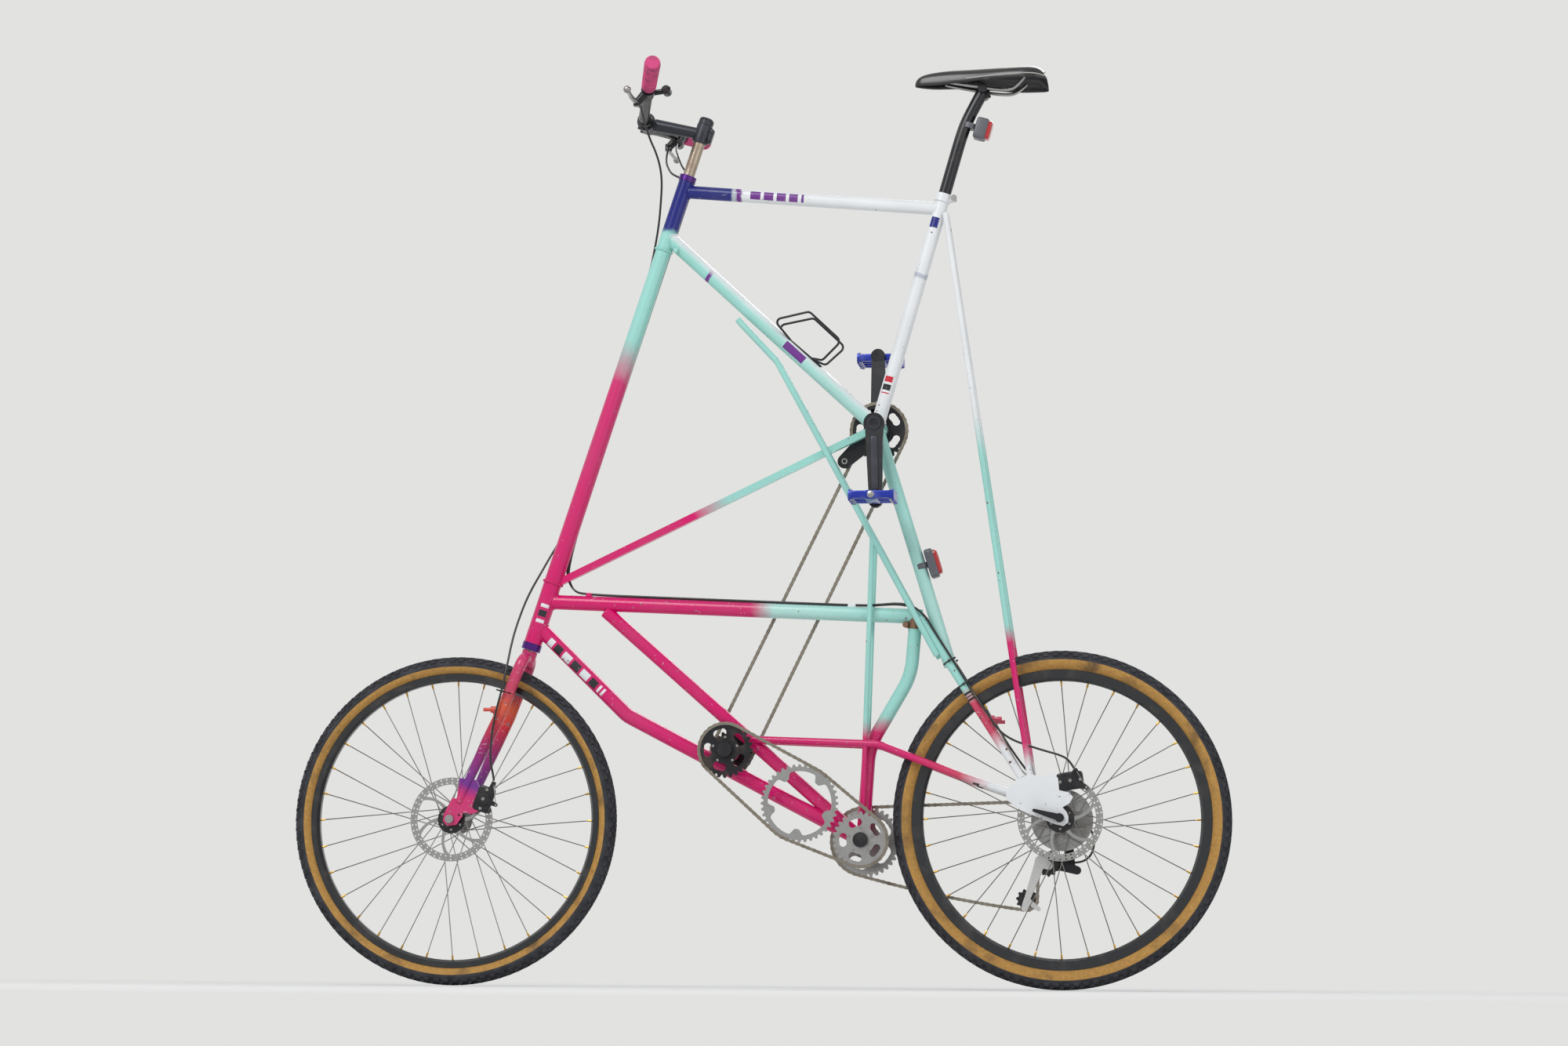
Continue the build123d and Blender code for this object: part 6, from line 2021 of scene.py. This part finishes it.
@dataclass
class Frame:
    """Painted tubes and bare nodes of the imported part, with their finishes."""

    def paints(self) -> list:
        """Sprayed finish of each painted node, with its bands."""
        white, mint, pink, rose = Tint.WHITE, Tint.MINT, Tint.PINK, Tint.ROSE
        low_frame = ((-1135.0, 768.0), (-422.0, 312.0), ((0.0, pink), (1.0, pink)), Wear.USED)
        stripes = (
            (0.14, 0.19, white), (0.21, 0.28, Tint.BLACK), (0.30, 0.38, white), (0.40, 0.48, Tint.BLACK),
            (0.50, 0.58, white), (0.60, 0.67, Tint.BLACK), (0.69, 0.71, white), (0.73, 0.75, white),
        )
        fork = ((-1146.0, 722.0), (-1290.0, 380.0), (
            (0.0, Tint.SOFT_PINK), (0.26, rose), (0.36, Tint.ORANGE), (0.48, Tint.RED),
            (0.66, Tint.MAGENTA),
            (0.86, Tint.PURPLE), (0.93, Tint.SOFT_PINK),
        ), Wear.WORN)
        rows = {
            "head_column": ((-812.0, 1766.0), (-1142.0, 737.0), (
                (0.0, Tint.BLUE), (0.115, Tint.BLUE), (0.128, mint), (0.36, mint), (0.45, Tint.SOFT_PINK),
                (1.0, pink),
            ), Wear.FRESH, None, ((0.918, 0.925, white), (0.931, 0.944, Tint.BLACK),
                                  (0.950, 0.957, white))),
            "upper_top_tube": ((-829.0, 1732.0), (-270.0, 1681.0), (
                (0.0, Tint.BLUE), (0.200, Tint.BLUE), (0.206, Tint.GREY), (0.218, Tint.GREY),
                (0.222, Tint.PURPLE),
                (0.236, Tint.PURPLE), (0.242, white), (1.0, white),
            ), Wear.USED, None, ((0.275, 0.315, Tint.PURPLE), (0.328, 0.366, Tint.PURPLE),
                                 (0.379, 0.415, Tint.PURPLE),
                                 (0.428, 0.462, Tint.PURPLE), (0.476, 0.486, Tint.PURPLE))),
            # Its white upper side is a painted highlight along the top of the tube, not sprayed paint.
            "upper_down_tube": ((-863.0, 1631.0), (-396.0, 1202.0), (
                (0.0, mint), (0.20, mint), (0.203, Tint.PURPLE), (0.215, Tint.PURPLE), (0.218, mint),
                (1.0, Tint.PALE_MINT),
            ), Wear.FRESH, white, ((0.57, 0.66, Tint.PURPLE),)),
            "upper_seat_tube": ((-253.0, 1710.0), (-395.0, 1212.0), (
                (0.0, white), (0.34, white), (0.345, Tint.GREY), (0.36, Tint.GREY), (0.365, white),
                (1.0, white),
            ), Wear.USED, None, ((0.10, 0.145, Tint.BLUE), (0.80, 0.825, Tint.RED),
                                 (0.835, 0.86, Tint.BLACK),
                                 (0.87, 0.875, Tint.RED))),
            "upper_stays": ((-243.0, 1654.0), (-60.0, 448.0), (
                (0.0, white), (0.36, white), (0.43, mint), (0.735, mint), (0.765, pink), (0.95, pink),
                (0.985, white),
            ), Wear.USED),
            "seat_extension_tube": ((-386.0, 1169.0), (-235.0, 683.0),
                                    ((0.0, mint), (1.0, Tint.PALE_MINT)), Wear.FRESH),
            "diagonal_brace": ((-1085.0, 861.0), (-415.0, 1190.0), (
                (0.0, pink), (0.44, pink), (0.55, mint), (1.0, mint),
            ), Wear.USED),
            "drop_struts": ((-404.0, 951.0), (-428.0, 329.0), ((0.0, mint), (0.62, mint), (0.68, pink)),
                            Wear.USED),
            "side_braces": ((-700.0, 1441.0), (-270.0, 718.0), ((0.0, mint), (1.0, mint)), Wear.FRESH),
            "lower_top_tube": ((-1110.0, 828.0), (-317.0, 791.0), (
                (0.0, pink), (0.56, pink), (0.62, Tint.PALE_MINT), (1.0, mint),
            ), Wear.USED),
            "lower_seat_tube": ((-312.0, 785.0), (-422.0, 312.0), (
                (0.0, mint), (0.44, mint), (0.52, pink), (1.0, pink),
            ), Wear.USED),
            "seat_stays": ((-298.0, 782.0), (-83.0, 446.0), (
                (0.0, mint), (0.44, mint), (0.54, rose), (0.72, rose), (0.83, white), (1.0, white),
            ), Wear.WORN, None, ((0.470, 0.482, Tint.BLACK), (0.492, 0.498, Tint.BLACK),
                                 (0.508, 0.520, Tint.BLACK))),
            "chain_stays": ((-659.0, 528.0), (-108.0, 407.0), (
                (0.0, pink), (0.60, pink), (0.80, rose), (0.93, white),
            ), Wear.USED, None, ((0.665, 0.675, Tint.BLACK), (0.685, 0.70, Tint.BLACK),
                                 (0.712, 0.72, Tint.BLACK),
                                 (0.735, 0.75, Tint.BLACK), (0.86, 0.885, Tint.BLACK))),
            "rear_dropouts": ((-112.0, 414.0), (28.0, 402.0), ((0.0, white), (1.0, white)), Wear.USED),
            "jackshaft_strut": low_frame,
            "lower_down_tube": (
                (-1135.0, 768.0), (-935.0, 580.0), ((0.0, pink), (1.0, pink)), Wear.USED, None, stripes,
            ),
            "fork_crown": fork, "fork_blades": fork,
        }
        return [SprayPaint(node, *row) for node, row in rows.items()]

    def shells(self) -> SprayPaint:
        """Paint of the bracket shells: mint on the upper one and pink on the two lower ones."""
        bands = ((0.0, Tint.MINT), (0.55, Tint.MINT), (0.65, Tint.PINK), (1.0, Tint.PINK))
        return SprayPaint("bracket_shells", (-396.0, 1202.0), (-422.0, 312.0), bands, Wear.WORN)

    def bare(self, finish: dict) -> dict:
        """Nodes that keep their solids and aren't painted, with their finish."""
        groups = {
            "cup": ("headset_cups",), "dark": (
                "handlebar", "crank_arms", "upper_chainring", "bottle_cage",
            ),
            "steel": ("front_axle", "rear_axle", "front_spoked_hub", "rear_spoked_hub", "cassette",
                      "lower_axle"),
            "worn_steerer": ("steerer",), "black_ring": ("jackshaft",), "rim": ("front_rim", "rear_rim"),
        }
        return {node: finish[name] for name, nodes in groups.items() for node in nodes}

    def build(self, finish: dict) -> dict:
        """Dresses the nodes.

        Args:
            finish: The plain finishes by name.

        Returns:
            The paint of each painted node.
        """
        paints = {paint.name: paint.make() for paint in [*self.paints(), self.shells()]}
        for node, material in {**paints, **self.bare(finish)}.items():
            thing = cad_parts[node]
            if not thing.material_slots:
                thing.data.materials.append(material)
            for slot in thing.material_slots:
                slot.material = material
        LOG.info("%d nodes dressed", len(paints))
        return paints


FINISHES = (
    Surface("dark", srgb(30, 31, 36), 0.34, 0.55, 0.3, dirt=srgb(92, 86, 80)),
    Surface("satin", srgb(44, 47, 56), 0.38, 0.5, 0.2, dirt=srgb(96, 98, 104)),
    Surface("steel", srgb(172, 172, 171), 0.26, 1.0, dirt=srgb(96, 86, 76), dirty=0.4),
    Surface("white_metal", srgb(214, 214, 212), 0.32, 0.6, 0.2, dirt=srgb(120, 112, 104)),
    Surface("worn_steerer", srgb(176, 162, 146), 0.30, 1.0, grain=90.0, dirt=srgb(120, 84, 62), dirty=0.6),
    Surface("chain", srgb(150, 143, 132), 0.32, 1.0, dirt=srgb(72, 54, 40), dirty=0.6),
    Surface("black_ring", srgb(34, 34, 38), 0.42, 0.6, 0.1, dirt=srgb(104, 90, 78), dirty=0.4),
    Surface("rim", srgb(26, 28, 33), 0.3, 0.3, 0.5, dirt=srgb(88, 84, 82)),
    Surface("cup", srgb(84, 34, 130), 0.26, 0.9, 0.3, dirt=srgb(90, 70, 60)),
    Surface("pedal", srgb(8, 44, 168), 0.3, 0.5, 0.4, dirt=srgb(150, 150, 156)),
    Surface("brass", srgb(186, 146, 66), 0.3, 1.0, dirt=srgb(90, 66, 40)),
    Surface("cover", srgb(18, 18, 21), 0.32, 0.0, 0.3, dirt=srgb(70, 70, 72)),
    Surface("tie", srgb(26, 26, 30), 0.45, dirt=srgb(80, 80, 84)),
    Surface("trim", srgb(196, 194, 188), 0.6, grain=900.0, dirt=srgb(90, 86, 80), dirty=0.5),
    Surface("rusty", srgb(134, 104, 80), 0.5, 0.6, grain=120.0, dirt=srgb(104, 60, 38), dirty=0.8),
    Surface("grey", srgb(92, 94, 102), 0.4, 0.0, 0.2, dirt=srgb(150, 150, 150)),
)


@dataclass
class Studio:
    """Camera at floor level, pale floor and surroundings, and soft lamps."""

    CAMERA_PLACE = (0.5547, -7.3203, -1.965)
    AZIMUTH = 7.715
    PITCH = 7.487
    ROLL = 0.450
    LENS = 79.16
    SENSOR = 36.0
    BACKDROP = srgb(226, 226, 224)
    FLOOR_HALF = 40.0
    PLAIN_FROM = 1.3
    PLAIN_TO = 3.2
    LAMPS = (  # name, place, size, power
        ("key", (-2.6, -4.6, 3.2), 3.2, 225.0), ("fill", (3.8, -3.6, 0.6), 4.0, 46.0),
        ("rim", (1.0, 4.6, 3.0), 3.0, 110.0),
    )

    def camera(self) -> None:
        """Camera that looks up at the bicycle as the photograph does."""
        data = bpy.data.cameras.new("camera")
        data.lens = self.LENS
        data.sensor_width = self.SENSOR
        data.clip_end = 100.0
        camera = bpy.data.objects.new("camera", data)
        bpy.context.scene.collection.objects.link(camera)
        azimuth, pitch, roll = (math.radians(value) for value in (self.AZIMUTH, self.PITCH, self.ROLL))
        forward = Vector((-math.sin(azimuth) * math.cos(pitch), math.cos(azimuth) * math.cos(pitch),
                          math.sin(pitch)))
        level = forward.cross(Vector((0, 0, 1))).normalized()
        upright = level.cross(forward)
        right = level * math.cos(roll) + upright * math.sin(roll)
        up = upright * math.cos(roll) - level * math.sin(roll)
        turn = Matrix((right, up, -forward)).transposed().to_4x4()
        camera.matrix_world = Matrix.Translation(self.CAMERA_PLACE) @ turn
        bpy.context.scene.camera = camera

    def floor(self) -> None:
        """Floor that takes the shadow near the bicycle and turns into the plain backdrop further out."""
        half, low = self.FLOOR_HALF, CAD_BOX[0].z - 0.0005
        steps = np.linspace(-half, half, 41)
        x, y = np.meshgrid(steps, steps, indexing="ij")
        shape = grid(np.stack((x, y, np.full(x.shape, low)), axis=-1), False, False)
        mesh = bpy.data.meshes.new("floor")
        mesh.from_pydata(shape.vertices.tolist(), [], shape.faces)
        floor = bpy.data.objects.new("floor", mesh)
        bpy.context.scene.collection.objects.link(floor)
        graph = Graph("floor_pale", roughness=0.95)
        graph.shader.inputs["Specular IOR Level"].default_value = 0.1
        graph.shader.inputs["Base Color"].default_value = srgb(238, 238, 236)
        plain = graph.add("ShaderNodeEmission")
        plain.inputs["Color"].default_value = self.BACKDROP
        middle = graph.add("ShaderNodeVectorMath")
        middle.operation = "DISTANCE"
        middle.inputs[1].default_value = (-0.5, 0.0, low)
        graph.link(graph.place, middle, 0)
        share = graph.step(middle.outputs["Value"], self.PLAIN_FROM, self.PLAIN_TO)
        blend = graph.add("ShaderNodeMixShader")
        graph.link(share, blend, 0)
        graph.link(graph.shader.outputs["BSDF"], blend, 1)
        graph.link(plain.outputs["Emission"], blend, 2)
        output = next(node for node in graph.tree.nodes if node.type == "OUTPUT_MATERIAL")
        graph.link(blend.outputs["Shader"], output, "Surface")
        mesh.materials.append(graph.material)

    def world(self) -> None:
        """Soft light from all round, with the plain backdrop where it is seen."""
        world = bpy.data.worlds.new("pale")
        bpy.context.scene.world = world
        world.use_nodes = True
        tree = world.node_tree
        tree.nodes.clear()
        shades = []
        for colour, strength in (((0.92, 0.95, 1.0, 1.0), 0.42), (self.BACKDROP, 1.0)):
            shade = tree.nodes.new("ShaderNodeBackground")
            shade.inputs["Color"].default_value = colour
            shade.inputs["Strength"].default_value = strength
            shades.append(shade)
        path = tree.nodes.new("ShaderNodeLightPath")
        mix = tree.nodes.new("ShaderNodeMixShader")
        output = tree.nodes.new("ShaderNodeOutputWorld")
        seen = path.outputs["Is Camera Ray"]
        for ray in ("Is Glossy Ray", "Is Transmission Ray"):
            either = tree.nodes.new("ShaderNodeMath")
            either.operation = "MAXIMUM"
            tree.links.new(seen, either.inputs[0])
            tree.links.new(path.outputs[ray], either.inputs[1])
            seen = either.outputs["Value"]
        tree.links.new(seen, mix.inputs["Fac"])
        tree.links.new(shades[0].outputs["Background"], mix.inputs[1])
        tree.links.new(shades[1].outputs["Background"], mix.inputs[2])
        tree.links.new(mix.outputs["Shader"], output.inputs["Surface"])

    def lamps(self) -> None:
        """Large soft lamps aimed at the middle of the bicycle."""
        for name, place, size, power in self.LAMPS:
            lamp = bpy.data.lights.new(name, "AREA")
            lamp.size = size
            lamp.energy = power
            holder = bpy.data.objects.new(name, lamp)
            bpy.context.scene.collection.objects.link(holder)
            holder.location = place
            holder.rotation_mode = "QUATERNION"
            holder.rotation_quaternion = (Vector((-0.5, 0.0, -0.9)) - Vector(place)).to_track_quat("-Z",
                                                                                                   "Y")

    def build(self) -> None:
        """Sets the stage."""
        self.camera()
        self.floor()
        self.world()
        self.lamps()
        bpy.context.scene.view_settings.view_transform = "Standard"


def main() -> None:
    """Sets the stage, dresses the nodes and builds the sub-assemblies in order."""
    logging.basicConfig(level=logging.INFO)
    Studio().build()
    finish = {surface.name: surface.make() for surface in FINISHES}
    paints = Frame().build(finish)
    cockpit = Cockpit()
    Cables().build(cockpit, finish["cover"], finish["tie"])
    Welds().build(paints)
    for label, centre, outer, half, tan_limit in (
        ("rear", REAR_CENTRE, 358.0, 25.5, 338.0), ("front", FRONT_CENTRE, 354.0, 24.0, 332.0),
    ):
        Tyre(label, centre, outer, half, tan_limit).build()
    BrakeDisc("rear", REAR_CENTRE, -52.0).build(finish["steel"], finish["dark"])
    BrakeDisc("front", FRONT_CENTRE, -39.5).build(finish["steel"], finish["dark"])
    Nipples("rear", REAR_CENTRE, 293.0, (-27.0, 17.0)).build(finish["brass"])
    Nipples("front", FRONT_CENTRE, 300.0, (-22.0, 33.0)).build(finish["brass"])
    for chain in (
        LinkChain("long_chain", (
            (*UPPER_BRACKET, pitch_radius(30), 1), (*JACKSHAFT, pitch_radius(22), 1), (*IDLER, 13.0, -1),
        ), RING_Y),
        LinkChain("near_chain", (
            (*JACKSHAFT, pitch_radius(28), 1), (*GHOST_CENTRE, pitch_radius(40), 1),
            (*LOWER_BRACKET, pitch_radius(28), 1), (*GHOST_CENTRE, pitch_radius(40), 1),
        ), -RING_Y),
        LinkChain("rear_chain", (
            (*LOWER_BRACKET, pitch_radius(36), 1), (*REAR_CENTRE, pitch_radius(21), 1),
            (*GUIDE_PULLEY, 22.0, -1),
            (*TENSION_PULLEY, 22.0, 1),
        ), RING_Y, 9.0),
    ):
        chain.build(finish["chain"])
    Saddle().build(finish["steel"], finish["dark"], finish["trim"])
    cockpit.build(finish["dark"], finish["steel"], finish["satin"])
    SmallParts().build(finish)
    GhostRing().build(finish["steel"])
    Cranks().build(finish)
    FrameFittings().build(paints, finish)


if __name__ == "__main__":
    main()
